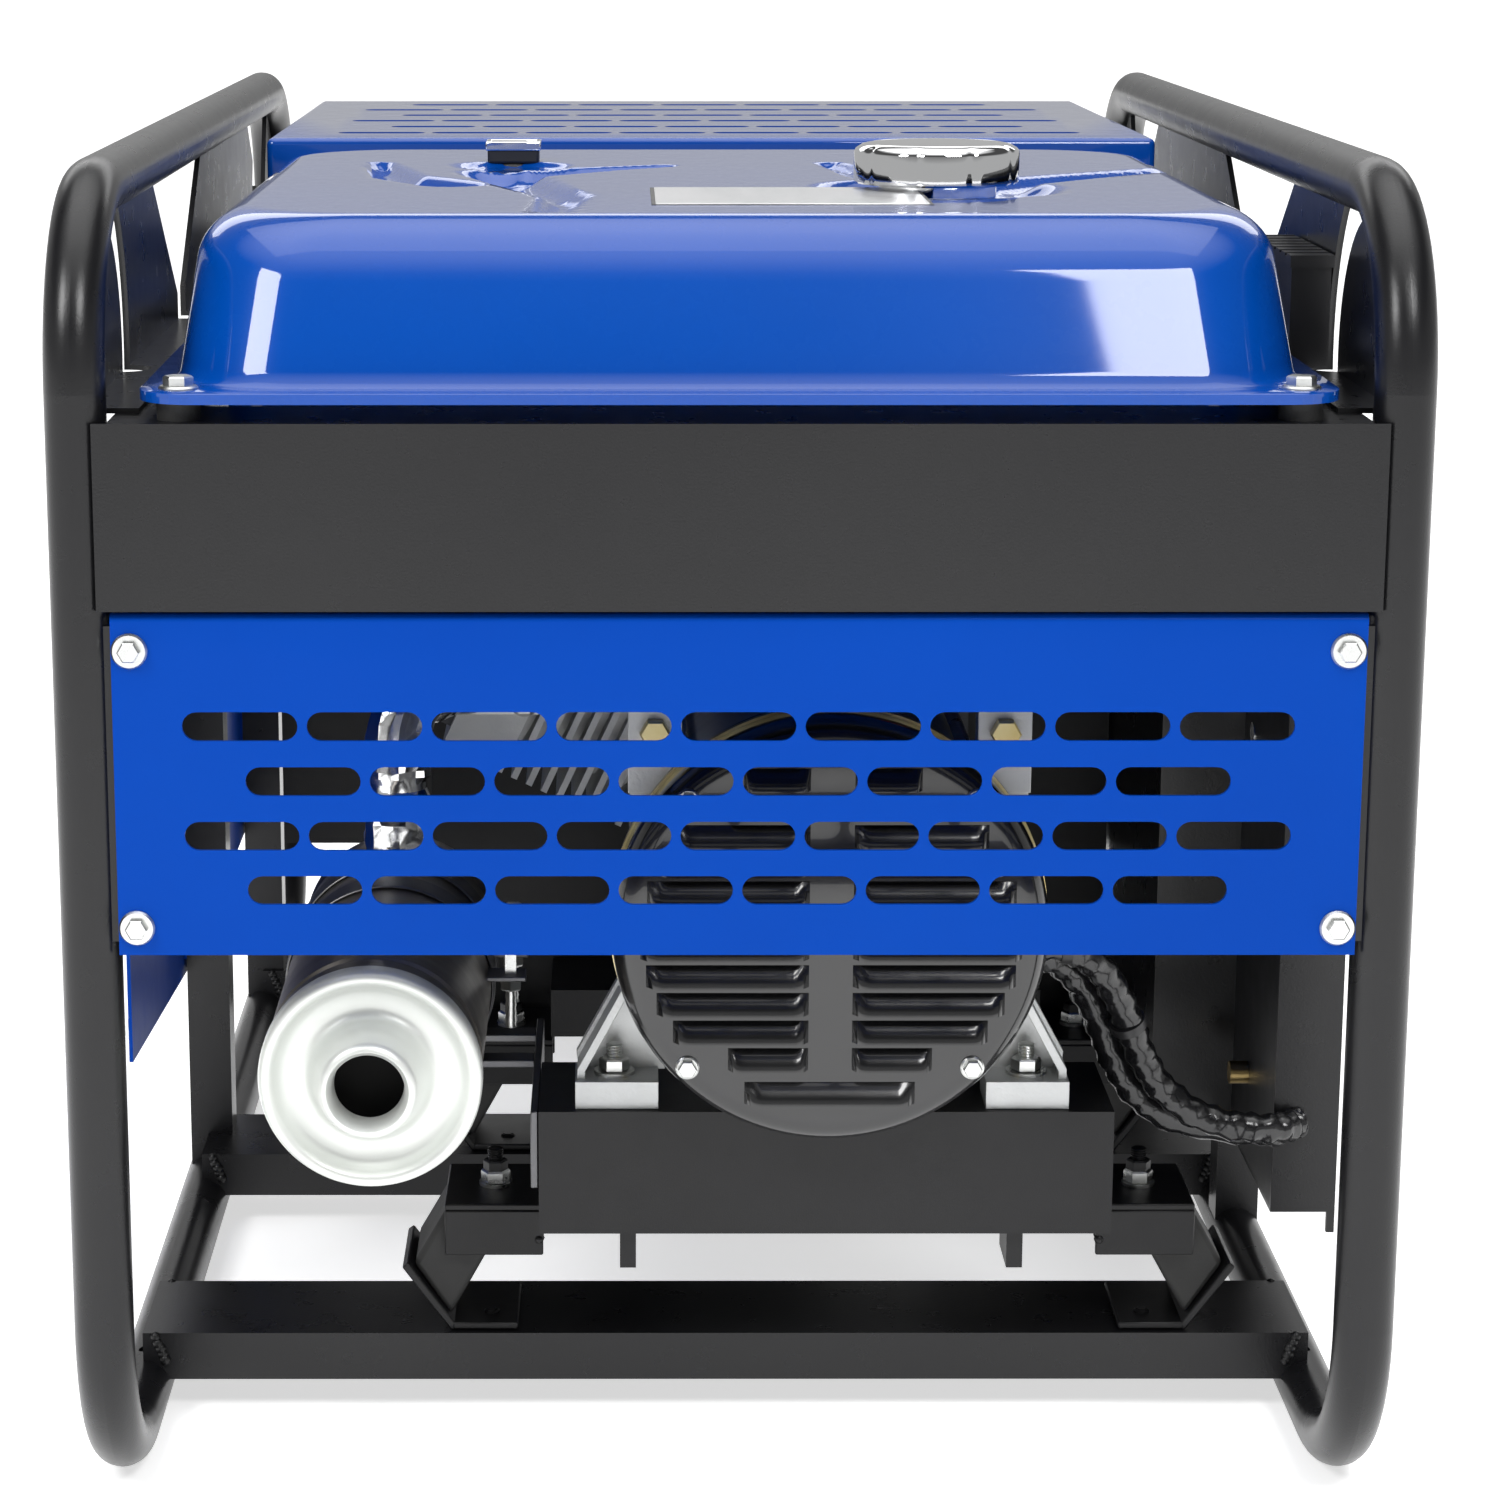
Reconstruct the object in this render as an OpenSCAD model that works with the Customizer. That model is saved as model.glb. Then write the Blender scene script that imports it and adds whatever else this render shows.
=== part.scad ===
/* [Frame] */
// Overall width over the side tubes
frame_w = 624; // [600:2:760]
// Overall length over the end posts
frame_l = 1040; // [1030:5:1260]
// Overall height of the side loops
frame_h = 642; // [640:2:780]
// Outer diameter of the frame tube
tube_d = 28; // [25:0.5:32]
// Wall of the frame tube
tube_wall = 2; // [1.5:0.5:3]
// Bend radius of the tube, to its centreline
bend_r = 85; // [70:1:100]
// Sheet thickness of beams and rails
sheet = 2.5; // [2:0.5:3]
// Height of the front and rear beams
beam_h = 85; // [70:1:90]
// Width of the cross channels (along Y)
channel_w = 75; // [60:1:85]
// Height of the cross channels
channel_h = 25; // [20:1:30]
// Diameter of the wheel-kit holes
kit_hole_d = 9; // [7:0.5:11]
// Spacing of the wheel-kit holes
kit_pitch = 30; // [24:1:40]

/* [Fuel tank] */
// Width of the tank flange
tank_w = 540; // [500:5:545]
// Length of the tank flange
tank_l = 560; // [520:5:570]
// Height of the tank above its flange
tank_h = 76; // [60:1:80]
// Diameter of the filler cap
cap_d = 82; // [70:1:90]

/* [Welder box] */
// Width of the welder box
box_w = 526; // [480:2:540]
// Length of the welder box
box_l = 415; // [360:5:425]
// Height of the slotted cover
cover_h = 87; // [70:1:90]

/* [Alternator] */
// Diameter of the louvred end cover
cover_d = 210; // [190:2:216]
// Length of the stator barrel
stator_l = 170; // [140:2:180]
// Bore of the stator core
stator_bore = 112; // [100:1:120]
// Air gap between rotor and stator
air_gap = 0.5; // [0.4:0.1:1]
// Diameter of the shaft in its bearings
shaft_d = 30; // [25:1:34]

/* [Exhaust] */
// Diameter of the muffler
muffler_d = 104; // [90:1:110]
// Length of the muffler
muffler_l = 270; // [220:5:280]
// Diameter of the exhaust pipe
pipe_d = 34; // [28:1:38]

/* [Controls] */
// Travel of the breaker buttons
button_travel = 3; // [2:0.5:4]
// Diameter of the weld output studs
stud_d = 12; // [10:1:14]
// Running clearance of pins and shafts, radial
run_gap = 0.05; // [0.03:0.01:0.09]
// Clearance between bodies that move past each other
gap = 0.4; // [0.3:0.1:0.6]

/* [Hidden] */
$fn = 64;
loop_x = frame_w/2 - tube_d/2;
post_y = frame_l/2 - tube_d/2;
top_z = frame_h - tube_d/2;
bot_z = tube_d/2;
face_y = -frame_l/2;
deck_z = frame_h - 111.5;
beam_w = 2*loop_x - 17;
rail_x = loop_x - tube_d/2 - 1;
rail_flange = 38;
kit_y = [-325, -355];
channel_y = [-372, -90, 297];
channel_z = 18;
panel_w = beam_w - 11;
panel_z0 = 284.5;
panel_z1 = deck_z - beam_h - 1.5;
slot_w = 52.5;
slot_h = 13.5;
slot_pitch = 56.6;
slot_row = 25.6;
bolt_x = panel_w/2 - 8.5;
axis_x = 47;
axis_z = 276;
cover_y = -452;
bell_y = -420;
core_y = bell_y + 30;
stator_end = core_y + stator_l;
crank_y0 = stator_end + 1;
crank_y1 = crank_y0 + 235;
flange_z = deck_z + 8.5;
tank_y0 = face_y;
tank_y1 = face_y + tank_l;
grommet_x = tank_w/2 - 18;
grommet_y = [tank_y0 + 18, tank_y1 - 18];
cap_x = 103;
cap_y = -300;
tank_top = flange_z + 3 + tank_h - 1;
neck_top = tank_top + 6;
cap_z = tank_top + 1.5;
box_y0 = tank_y1 + 30;
box_y1 = box_y0 + box_l;
muf_x = -172;
muf_z = 214;
muf_y = -478;
house_x0 = loop_x - 19;
house_x1 = frame_w/2;
house_y0 = -355;
house_y1 = 330;
house_z0 = 102;
house_z1 = deck_z - 90.5;
panel_x = house_x0 + sheet;
dial_at = [-60, 330];
key_at = [-250, 330];
breaker_at = [20, 330];
choke_at = [-180, 330];
rocker_at = [80, 330];
stud_y = [-270, -190];
stud_z = 150;
outlet_y = [90, 190, 270];
outlet_z = 210;

// box between two corners, each axis given as [low, high]
module bx(x, y, z)
    translate([x[0], y[0], z[0]]) cube([x[1] - x[0], y[1] - y[0], z[1] - z[0]]);
// cylinders along X and Y from a start point
module cx(p, d, l) translate(p) rotate([0, 90, 0]) cylinder(d = d, h = l);
module cy(p, d, l) translate(p) rotate([-90, 0, 0]) cylinder(d = d, h = l);
module ring_y(p, d, bore, l)
    difference() { cy(p, d, l); cy([p[0], p[1] - 1, p[2]], bore, l + 2); }
// flat hexagon nut or head along Z
module hex(af, h) cylinder(d = af/cos(30), h = h, $fn = 6);

// one side loop as hollow straights and bends that meet face to face
module loop_tube(x, od, id) {
    straight_y = 2*(post_y - bend_r);
    straight_z = top_z - bot_z - 2*bend_r;
    module wall2d() difference() { circle(d = od); circle(d = id); }
    for (z = [bot_z, top_z]) translate([x, straight_y/2, z])
        rotate([90, 0, 0]) linear_extrude(straight_y) wall2d();
    for (y = [-post_y, post_y]) translate([x, y, bot_z + bend_r]) linear_extrude(straight_z) wall2d();
    for (sy = [-1, 1], sz = [0, 1])
        translate([x, sy*(post_y - bend_r), sz == 1 ? top_z - bend_r : bot_z + bend_r])
            rotate([0, 90, 0]) rotate([0, 0, sy*(sz == 1 ? 135 : 45) - 45])
                rotate_extrude(angle = 90) translate([bend_r, 0]) wall2d();
}
module side_loop(s) color("#1b1c1e") difference() {
    loop_tube(s*loop_x, tube_d, tube_d - 2*tube_wall);
    for (y = kit_y) translate([s*loop_x, y, -1]) cylinder(d = kit_hole_d, h = tube_d + 2);
}
module left_loop() side_loop(-1);
module right_loop() side_loop(1);

// pressed cross beam: face and two folded flanges
module cross_beam(s) color("#1b1c1e") {
    m = s == 1 ? 0 : 1;
    mirror([0, m, 0]) {
        bx([-beam_w/2, beam_w/2], [face_y, face_y + sheet], [deck_z - beam_h, deck_z]);
        bx([-rail_x, rail_x], [face_y + sheet, face_y + 60], [deck_z - sheet, deck_z]);
        bx([-rail_x, rail_x], [face_y + sheet, face_y + 25], [deck_z - beam_h, deck_z - beam_h + sheet]);
    }
}
module front_beam() cross_beam(1);
module rear_beam() cross_beam(0);

// folded deck rail with its flange turned in
module side_rail(s) color("#1b1c1e") mirror([s == 1 ? 0 : 1, 0, 0]) {
    y1 = -face_y - 60;
    bx([rail_x - rail_flange, rail_x], [-y1, y1], [deck_z - sheet, deck_z]);
    bx([rail_x - sheet, rail_x], [-y1, y1], [house_z1, deck_z - sheet]);
}
module side_rails() for (s = [-1, 1]) side_rail(s);

// gusset sheets from the top tube down to the deck rail
module brace(y_low, y_high) {
    z0 = deck_z + sheet;
    z1 = top_z - tube_d/2 + 0.5;
    translate([loop_x - 1.5, 0, 0]) rotate([90, 0, 90]) linear_extrude(3)
        polygon([[y_low[0], z0], [y_low[1], z0], [y_low[1], z0 + 14], [y_high[1], z1],
            [y_high[0], z1], [y_low[0], z0 + 14]]);
    bx([rail_x - 11, loop_x + 1.5], y_low, [deck_z, z0]);
}
module braces(s) color("#1b1c1e") mirror([s == 1 ? 0 : 1, 0, 0]) difference() {
    union() {
        brace([-post_y + 21, -112], [-post_y + 36, -212]);
        brace([-75, 385], [20, 300]);
        brace([405, post_y - 21], [440, post_y - 36]);
    }
    loop_cut();
}
module loop_cut() {
    translate([loop_x, 0, 0]) for (sy = [-1, 1])
        translate([0, sy*(post_y - bend_r), top_z - bend_r]) rotate([0, 90, 0])
            rotate_extrude() translate([bend_r, 0]) circle(d = tube_d);
    cy([loop_x, -post_y, top_z], tube_d, 2*post_y);
    for (sy = [-1, 1]) translate([loop_x, sy*post_y, 0]) cylinder(d = tube_d, h = top_z - bend_r);
}
module side_braces() for (s = [-1, 1]) braces(s);

// rectangular tube cross members, cut to fit the round side tubes
module base_channels() color("#202124") difference() {
    for (y = channel_y) difference() {
        bx([-loop_x, loop_x], [y, y + channel_w], [channel_z, channel_z + channel_h]);
        bx([-loop_x - 1, loop_x + 1], [y + 2, y + channel_w - 2],
            [channel_z + 2, channel_z + channel_h - 2]);
    }
    for (s = [-1, 1]) cy([s*loop_x, -post_y, bot_z], tube_d, 2*post_y);
    for (s = [-1, 1]) bx([s*(loop_x + 10) - 10, s*(loop_x + 10) + 10], [-post_y, post_y], [0, 60]);
}
module uprights() color("#202124") difference() {
    union() {
        bx([-loop_x - 10.5, -loop_x + 14], [-50, -26], [bot_z, house_z1]);
        bx([-loop_x - 10.5, -loop_x + 14], [300, 324], [bot_z, house_z1]);
        for (y = [-142, 250]) bx([loop_x - 12, loop_x + 12], [y, y + 24], [bot_z, house_z0]);
        bx([-loop_x + 5, -rail_x + sheet], [-50, -26], [house_z1, deck_z - sheet]);
        bx([-loop_x + 5, -rail_x + sheet], [300, 324], [house_z1, deck_z - sheet]);
    }
    for (s = [-1, 1]) cy([s*loop_x, -post_y, bot_z], tube_d, 2*post_y);
    for (y = channel_y) bx([-loop_x, loop_x], [y, y + channel_w], [channel_z, channel_z + channel_h]);
    bx([-rail_x - 0.01, -rail_x + sheet + 0.01], [-60, 400], [house_z1 - 0.01, deck_z]);
}

module panel_brackets() color("#1b1c1e") for (s = [-1, 1]) difference() {
    bx(s == 1 ? [panel_w/2 - 22, loop_x - 8] : [8 - loop_x, 22 - panel_w/2],
        [face_y + 5, face_y + 5 + sheet], [panel_z0 + 6, panel_z1 - 6]);
    translate([s*loop_x, -post_y, 0]) cylinder(d = tube_d, h = top_z);
    for (z = [panel_z0 + 13, panel_z1 - 17]) cy([s*bolt_x, face_y, z], 6.4, 20);
}
module front_panel() color("#0b4fc4") difference() {
    union() {
        bx([-panel_w/2, panel_w/2], [face_y + 3, face_y + 5], [panel_z0, panel_z1]);
        bx([-rail_x, rail_x], [face_y + 5, face_y + 24], [panel_z1 - 2, panel_z1]);
    }
    for (r = [0 : 3]) let (n = r % 2 == 0 ? 9 : 8)
        for (i = [0 : n - 1]) translate([(i - (n - 1)/2)*slot_pitch, face_y + 2,
            panel_z1 - 52 - r*slot_row]) {
            bx([-slot_w/2 + slot_h/2, slot_w/2 - slot_h/2], [0, 5], [-slot_h/2, slot_h/2]);
            for (s = [-1, 1]) cy([s*(slot_w - slot_h)/2, 0, 0], slot_h, 5);
        }
    for (s = [-1, 1], z = [panel_z0 + 13, panel_z1 - 17]) cy([s*bolt_x, face_y, z], 6.4, 20);
}
module front_panel_bolts() color("#b9bcbe") for (s = [-1, 1], z = [panel_z0 + 13, panel_z1 - 17]) {
    cy([s*bolt_x, face_y + 3, z], 6, 14);
    cy([s*bolt_x, face_y + 1.8, z], 16, 1.2);
    translate([s*bolt_x, face_y + 1.8, z]) rotate([90, 0, 0]) hex(9, 1.5);
    difference() {
        translate([s*bolt_x, face_y + 5 + sheet, z]) rotate([-90, 0, 0]) hex(10, 5);
        cy([s*bolt_x, face_y, z], 6, 20);
    }
}
module left_side_panel() color("#0b4fc4") translate([-frame_w/2, 0, 0]) {
    rotate([90, 0, 90]) linear_extrude(2)
        polygon([[-287, 161], [0, 136], [420, 136], [420, house_z1], [-287, house_z1]]);
    bx([2, 3.5], [-50, -26], [150, house_z1]);
    bx([2, 3.5], [300, 324], [150, house_z1]);
}

foot_top = 191;
// box beams that carry the alternator feet and the engine base
mount_z = [114, 177];
beam_x = [axis_x - 141, axis_x + 142];
front_beam_y = [bell_y, bell_y + 82];
rear_beam_y = [-88, -20];
rear_beam_z = [114, 142];
module hollow_beam(x, y, z) difference() {
    bx(x, y, z);
    bx([x[0] - 1, x[1] + 1], [y[0] + 3, y[1] - 3], [z[0] + 3, z[1] - 3]);
}
module mount_beams() color("#17181a") {
    hollow_beam(beam_x, front_beam_y, mount_z);
    hollow_beam(beam_x, rear_beam_y, rear_beam_z);
    for (x = [axis_x - 97, axis_x + 95]) bx([x - 4, x + 4], [bell_y + 6, bell_y + 40], [94, 114]);
}
// each foot: a plate on the channel, a wing at 45 degrees, a rubber block and an upper bracket
mount_x = [beam_x[0], beam_x[1]];
module at_mounts() for (s = [0, 1], k = [0, 1])
    translate([mount_x[s], k == 0 ? front_beam_y[0] + 48 : rear_beam_y[0], channel_z + channel_h])
        mirror([s == 0 ? 1 : 0, 0, 0]) children();
module mount_feet() color("#1b1c1e") at_mounts() {
    difference() {
        bx([0, 64], [4, 62], [0, 4]);
        for (y = [14, 52]) translate([12, y, -1]) cylinder(d = 8.5, h = 6);
    }
    translate([64, 62, 0]) rotate([90, 0, 0]) linear_extrude(58)
        polygon([[-1, 0], [-1, 4], [23, 28], [26, 25], [1, 0]]);
    bx([0, 46], [4, 62], [71, 75]);
    bx([42, 46], [4, 62], [48, 71]);
}
module rubber_isolators() color("#101010") at_mounts() bx([24, 41.7], [8, 58], [4, 71]);
module mount_studs() color("#b9bcbe") {
    at_mounts() translate([23, 33, 75.1]) {
        hex(13, 6.5);
        translate([0, 0, 6.5]) hex(13, 6.5);
        translate([0, 0, 13]) cylinder(d = 8, h = 5);
    }
    for (x = [-56.7, 147.1]) translate([x, bell_y + 20, foot_top]) {
        cylinder(d = 20, h = 1.6);
        translate([0, 0, 1.6]) hex(13, 6.5);
        translate([0, 0, 8.1]) cylinder(d = 8, h = 6);
    }
}

// pressed tank halves: a shell with a rolled flange
module rounded(w, l, r) hull() for (x = [-1, 1], y = [-1, 1])
    translate([x*(w/2 - r), y*(l/2 - r)]) circle(r = r, $fn = 32);
module tank_solid(inset, low) hull() {
    translate([0, 0, low]) linear_extrude(1) rounded(tank_w - 26 - 2*inset, tank_l - 26 - 2*inset, 55 - inset);
    translate([0, 0, tank_h - 30 - inset]) linear_extrude(1)
        rounded(tank_w - 40 - 2*inset, tank_l - 50 - 2*inset, 52 - inset);
    translate([0, 14, tank_h - 1 - inset]) linear_extrude(1)
        rounded(tank_w - 78 - 2*inset, tank_l - 120 - 2*inset, 44 - inset);
}
tank_c = [0, (tank_y0 + tank_y1)/2];
module tank_upper_shell() color("#0b4fc4") difference() {
    translate([tank_c[0], tank_c[1], flange_z + 3]) difference() {
        union() {
            tank_solid(0, 0);
            linear_extrude(2) rounded(tank_w, tank_l, 25);
        }
        tank_solid(2, -1);
    }
    translate([cap_x, cap_y, deck_z]) cylinder(d = 60, h = 200);
    translate([-112, -100, deck_z]) cylinder(d = 24, h = 200);
    tank_holes();
}
module tank_lower_shell() color("#0b4fc4") difference() {
    translate([tank_c[0], tank_c[1], 0]) difference() {
        union() {
            translate([0, 0, flange_z]) linear_extrude(3) rounded(tank_w, tank_l, 25);
            translate([0, 4, flange_z - 62]) linear_extrude(62)
                rounded(2*(rail_x - rail_flange) - 12, tank_l - 150, 30);
        }
        translate([0, 4, flange_z - 60]) linear_extrude(64)
            rounded(2*(rail_x - rail_flange) - 16, tank_l - 154, 28);
    }
    translate([150, -180, flange_z - 64]) cylinder(d = 10, h = 6);
    tank_holes();
}
module tank_holes() for (x = [-1, 1], y = grommet_y)
    translate([x*grommet_x, y, flange_z - 1]) cylinder(d = 8.4, h = 12);
module tank_grommets() color("#141414") for (x = [-1, 1], y = grommet_y)
    translate([x*grommet_x, y, deck_z]) difference() {
        cylinder(d = 20, h = flange_z - deck_z);
        translate([0, 0, -1]) cylinder(d = 8.2, h = 12);
    }
module tank_bolts() color("#b9bcbe") for (x = [-1, 1], y = grommet_y)
    translate([x*grommet_x, y, 0]) {
        translate([0, 0, deck_z]) cylinder(d = 8, h = flange_z + 5 - deck_z);
        translate([0, 0, flange_z + 5]) cylinder(d = 18, h = 1.6);
        translate([0, 0, flange_z + 6.6]) hex(13, 5.5);
    }
module fuel_gauge() color("#2a2b2d") translate([-112, -100, tank_top]) {
    translate([0, 0, -50]) cylinder(d = 23.6, h = 51);
    translate([-15, -11, 1]) cube([30, 22, 11]);
}
module filler_neck() color("#c9ccd0") translate([cap_x, cap_y, 0]) difference() {
    union() {
        translate([0, 0, flange_z - 30]) cylinder(d = 59.8, h = neck_top - flange_z + 30);
        translate([0, 0, neck_top - 3]) cylinder(d = 66, h = 3);
    }
    translate([0, 0, flange_z - 31]) cylinder(d = 54, h = 200);
}
module cap_seal() color("#202020") translate([cap_x, cap_y, neck_top]) {
    cylinder(d = 64, h = 3);
    translate([0, 0, 3]) cylinder(d = 10 - 2*run_gap, h = 4);
}
module cap_shell() color("#d4d7da") translate([cap_x, cap_y, 0]) difference() {
    translate([0, 0, tank_top + 4]) cylinder(d = cap_d, h = 20, $fn = 96);
    translate([0, 0, tank_top + 3]) cylinder(d = 66 + 2*gap, h = neck_top - tank_top + gap);
    translate([0, 0, neck_top - 1]) cylinder(d = 64 + 2*gap, h = 4 + gap);
    translate([0, 0, neck_top]) cylinder(d = 10, h = 8);
}
valve_z = flange_z - 62;
module fuel_valve_body() color("#b59a4c") translate([150, -180, valve_z]) {
    translate([0, 0, -30]) cylinder(d = 22, h = 30);
    translate([0, 0, 0]) cylinder(d = 9.8, h = 8);
    cy([0, 0, -15], 8, 22);
    cy([0, -19, -15], 8 - 2*run_gap, 9);
}
module fuel_valve_lever() color("#c02020") translate([150, -180, valve_z - 15]) difference() {
    union() {
        cy([0, -19, 0], 18, 7.6);
        bx([-34, 0], [-19, -14], [-4, 4]);
    }
    cy([0, -20, 0], 8, 10);
}
module vapour_canister() color("#151515") difference() {
    union() {
        bx([rail_x - 8.5, rail_x + 11], [-338, -226], [deck_z + sheet, deck_z + 52]);
        bx([rail_x - 9.5, rail_x + 12], [-340, -224], [deck_z + 52, deck_z + 58]);
    }
    for (y = [-328 : 16 : -232]) bx([rail_x - 12, rail_x + 14], [y, y + 5], [deck_z + 56.5, deck_z + 60]);
}

// welder box behind the tank
module welder_cover() color("#0b4fc4") difference() {
    bx([-box_w/2, box_w/2], [box_y0, box_y1], [deck_z + 2, deck_z + 2 + cover_h]);
    bx([2 - box_w/2, box_w/2 - 2], [box_y0 + 2, box_y1 - 2], [deck_z, deck_z + cover_h]);
    for (r = [0 : 5]) let (n = r % 2 == 0 ? 8 : 7)
        for (i = [0 : n - 1])
            translate([(i - (n - 1)/2)*slot_pitch, box_y0 + 54 + r*62, deck_z + cover_h - 2]) {
                bx([-slot_w/2 + slot_h/2, slot_w/2 - slot_h/2], [-slot_h/2, slot_h/2], [0, 6]);
                for (s = [-1, 1]) translate([s*(slot_w - slot_h)/2, 0, 0]) cylinder(d = slot_h, h = 6);
            }
}
// deck tray, with a baffle sheet hanging down behind the engine
pan_z = house_z1 + 8;
pan_x = rail_x - rail_flange - 1;
baffle_y = 150;
baffle_low = 170;
module welder_pan() color("#1b1c1e") difference() {
    union() {
        bx([-pan_x, pan_x], [box_y0 + 3, -face_y - 61], [pan_z, deck_z + 0.1]);
        bx([-box_w/2, box_w/2], [box_y0, box_y1], [deck_z, deck_z + 2]);
        bx([-pan_x - 24, house_x0 - 44], [baffle_y, baffle_y + 2], [baffle_low, pan_z + 1]);
    }
    bx([2 - pan_x, pan_x - 2], [box_y0 + 5, -face_y - 63], [pan_z + 2, deck_z + 3]);
}
module reactor() {
    color("#5a5d60") for (x = [-150, -50]) difference() {
        bx([x - 45, x + 45], [box_y0 + 60, box_y0 + 150], [pan_z + 2, pan_z + 122]);
        bx([x - 20, x + 20], [box_y0 + 59, box_y0 + 151], [pan_z + 27, pan_z + 97]);
    }
}
module rectifier() color("#c3c7ca") difference() {
    bx([40, 200], [box_y0 + 60, box_y0 + 180], [pan_z + 2, pan_z + 72]);
    for (i = [0 : 12]) bx([47 + i*12, 54 + i*12], [box_y0 + 59, box_y0 + 181], [pan_z + 14, pan_z + 73]);
}

// alternator
module alternator_cover() color("#101113") translate([axis_x, 0, axis_z]) difference() {
    cy([0, cover_y, 0], cover_d, bell_y - cover_y - 1);
    cy([0, cover_y + 3, 0], cover_d - 6, 40);
    for (s = [-1, 1], r = [-5 : 4]) let (z = r*15 - 4, half = sqrt(pow(cover_d/2 - 16, 2) - z*z))
        bx(s == 1 ? [18, min(half, 84)] : [-min(half, 84), -18], [cover_y - 1, cover_y + 4], [z, z + 6]);
    for (x = [-1, 1], z = [-1, 1]) cy([x*69, cover_y - 1, z*69], 6.4, 9);
}
module cover_bolts() color("#b9bcbe") for (x = [-1, 1], z = [-1, 1]) translate([axis_x + x*69, 0, axis_z + z*69]) {
    cy([0, cover_y - 1.2, 0], 14, 1.2);
    translate([0, cover_y - 1.2, 0]) rotate([90, 0, 0]) hex(10, 5);
    cy([0, cover_y, 0], 6, bell_y - cover_y - 0.5);
}
module end_bell() color("#b4b8ba") difference() {
    union() {
        translate([axis_x, 0, axis_z]) {
            cy([0, bell_y - 0.5, 0], cover_d - 6.4, 0.5);
            cy([0, bell_y, 0], 192, 30);
            for (s = [-1, 1]) bx([s*84 - 14, s*84 + 14], [bell_y, bell_y + 14], [60, 104]);
        }
        for (x = [-76, 126]) {
            bx([x, x + 41], [bell_y + 4, bell_y + 36], [mount_z[1], foot_top]);
            bx([x + 3, x + 7], [bell_y + 4, bell_y + 30], [foot_top, 240]);
        }
    }
    translate([axis_x, 0, axis_z]) {
        cy([0, bell_y - 2, 0], 62, 34);
        for (x = [-40, 40], z = [-40, 40]) cy([x, bell_y - 2, z], 34, 34);
        for (x = [-1, 1], z = [-1, 1]) cy([x*69, bell_y - 2, z*69], 6.1, 6);
    }
}
module stator_barrel() color("#8d9194") translate([axis_x, 0, axis_z])
    ring_y([0, core_y, 0], 190, 182, stator_l);
module stator_core() {
    color("#6d7073") translate([axis_x, 0, axis_z])
        ring_y([0, core_y + 25, 0], 182, stator_bore, stator_l - 50);
    color("#b5652a") translate([axis_x, 0, axis_z]) for (y = [core_y + 5, core_y + stator_l - 25])
        ring_y([0, y, 0], 168, 128, 20);
}
module rotor() color("#77797c") translate([axis_x, 0, axis_z]) {
    ring_y([0, core_y + 25, 0], stator_bore - 2*air_gap, shaft_d, stator_l - 50);
    ring_y([0, core_y - 2, 0], 50, shaft_d, 12);
}
fly_y = crank_y1 + 14;
module crankshaft() color("#9a9da0") translate([axis_x, 0, axis_z]) {
    cy([0, bell_y - 6, 0], shaft_d, crank_y0 + 60 - bell_y + 6);
    for (y = [crank_y0 + 60, crank_y0 + 110]) cy([0, y, 0], 96, 20);
    cy([0, crank_y0 + 80, 30], 32, 30);
    cy([0, crank_y0 + 130, 0], shaft_d, fly_y + 34 - crank_y0 - 130);
}
module bearings() color("#c9ccd0") translate([axis_x, 0, axis_z])
    for (y = [bell_y + 6, crank_y0 + 3, crank_y1 - 19])
        ring_y([0, y, 0], 62, shaft_d + 2*run_gap, 16);

// engine
cyl_tilt = 25;
cyl_y = (crank_y0 + crank_y1)/2;
module along_cylinder() translate([axis_x, cyl_y, axis_z]) rotate([0, -90 + cyl_tilt, 0]) children();
module crankcase() color("#3b3d40") difference() {
    bx([axis_x - 75, axis_x + 85], [crank_y0, crank_y1], [rear_beam_z[1], axis_z + 75]);
    bx([axis_x - 67, axis_x + 77], [crank_y0 + 20, crank_y1 - 20], [rear_beam_z[1] + 8, axis_z + 67]);
    cy([axis_x, crank_y0 - 1, axis_z], 62, crank_y1 - crank_y0 + 2);
    along_cylinder() cylinder(d = 90, h = 140);
}
module engine_cylinder() color("#8f9396") difference() {
    along_cylinder() difference() {
        union() {
            translate([0, 0, 78]) cylinder(d = 100, h = 100);
            for (i = [0 : 7]) translate([-58, -66, 84 + i*9]) cube([116, 132, 3.5]);
            translate([-58, -66, 156]) cube([116, 132, 36]);
        }
        translate([0, 0, 60]) cylinder(d = 88, h = 96);
    }
    bx([axis_x - 75, axis_x + 85], [crank_y0 - 5, crank_y1 + 5], [rear_beam_z[1], axis_z + 75]);
}
module valve_cover() color("#55585b") along_cylinder()
    translate([-48, -56, 192]) cube([96, 112, 26]);
module blower_housing() color("#1c1d1f") translate([axis_x, 0, axis_z]) difference() {
    cy([0, crank_y1, 0], 230, 62);
    cy([0, crank_y1 + 3, 0], 224, 56);
    cy([0, crank_y1 - 1, 0], 62, 8);
    for (a = [0 : 30 : 330], r = [45, 70, 92]) rotate([0, a + r, 0]) cy([r, crank_y1 + 57, 0], 12, 8);
}
module flywheel() color("#85888b") translate([axis_x, 0, axis_z]) {
    ring_y([0, fly_y, 0], 200, shaft_d, 12);
    ring_y([0, fly_y + 12, 0], 60, shaft_d, 16);
    for (a = [0 : 30 : 330]) rotate([0, a, 0]) bx([62, 96], [fly_y + 12, fly_y + 28], [-2, 2]);
}
module air_cleaner() color("#161719") {
    bx([-235, -88], [crank_y1 + 4, crank_y1 + 130], [300, 418]);
    bx([-124, -92], [cyl_y + 66, crank_y1 + 4], [340, 372]);
}

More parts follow.
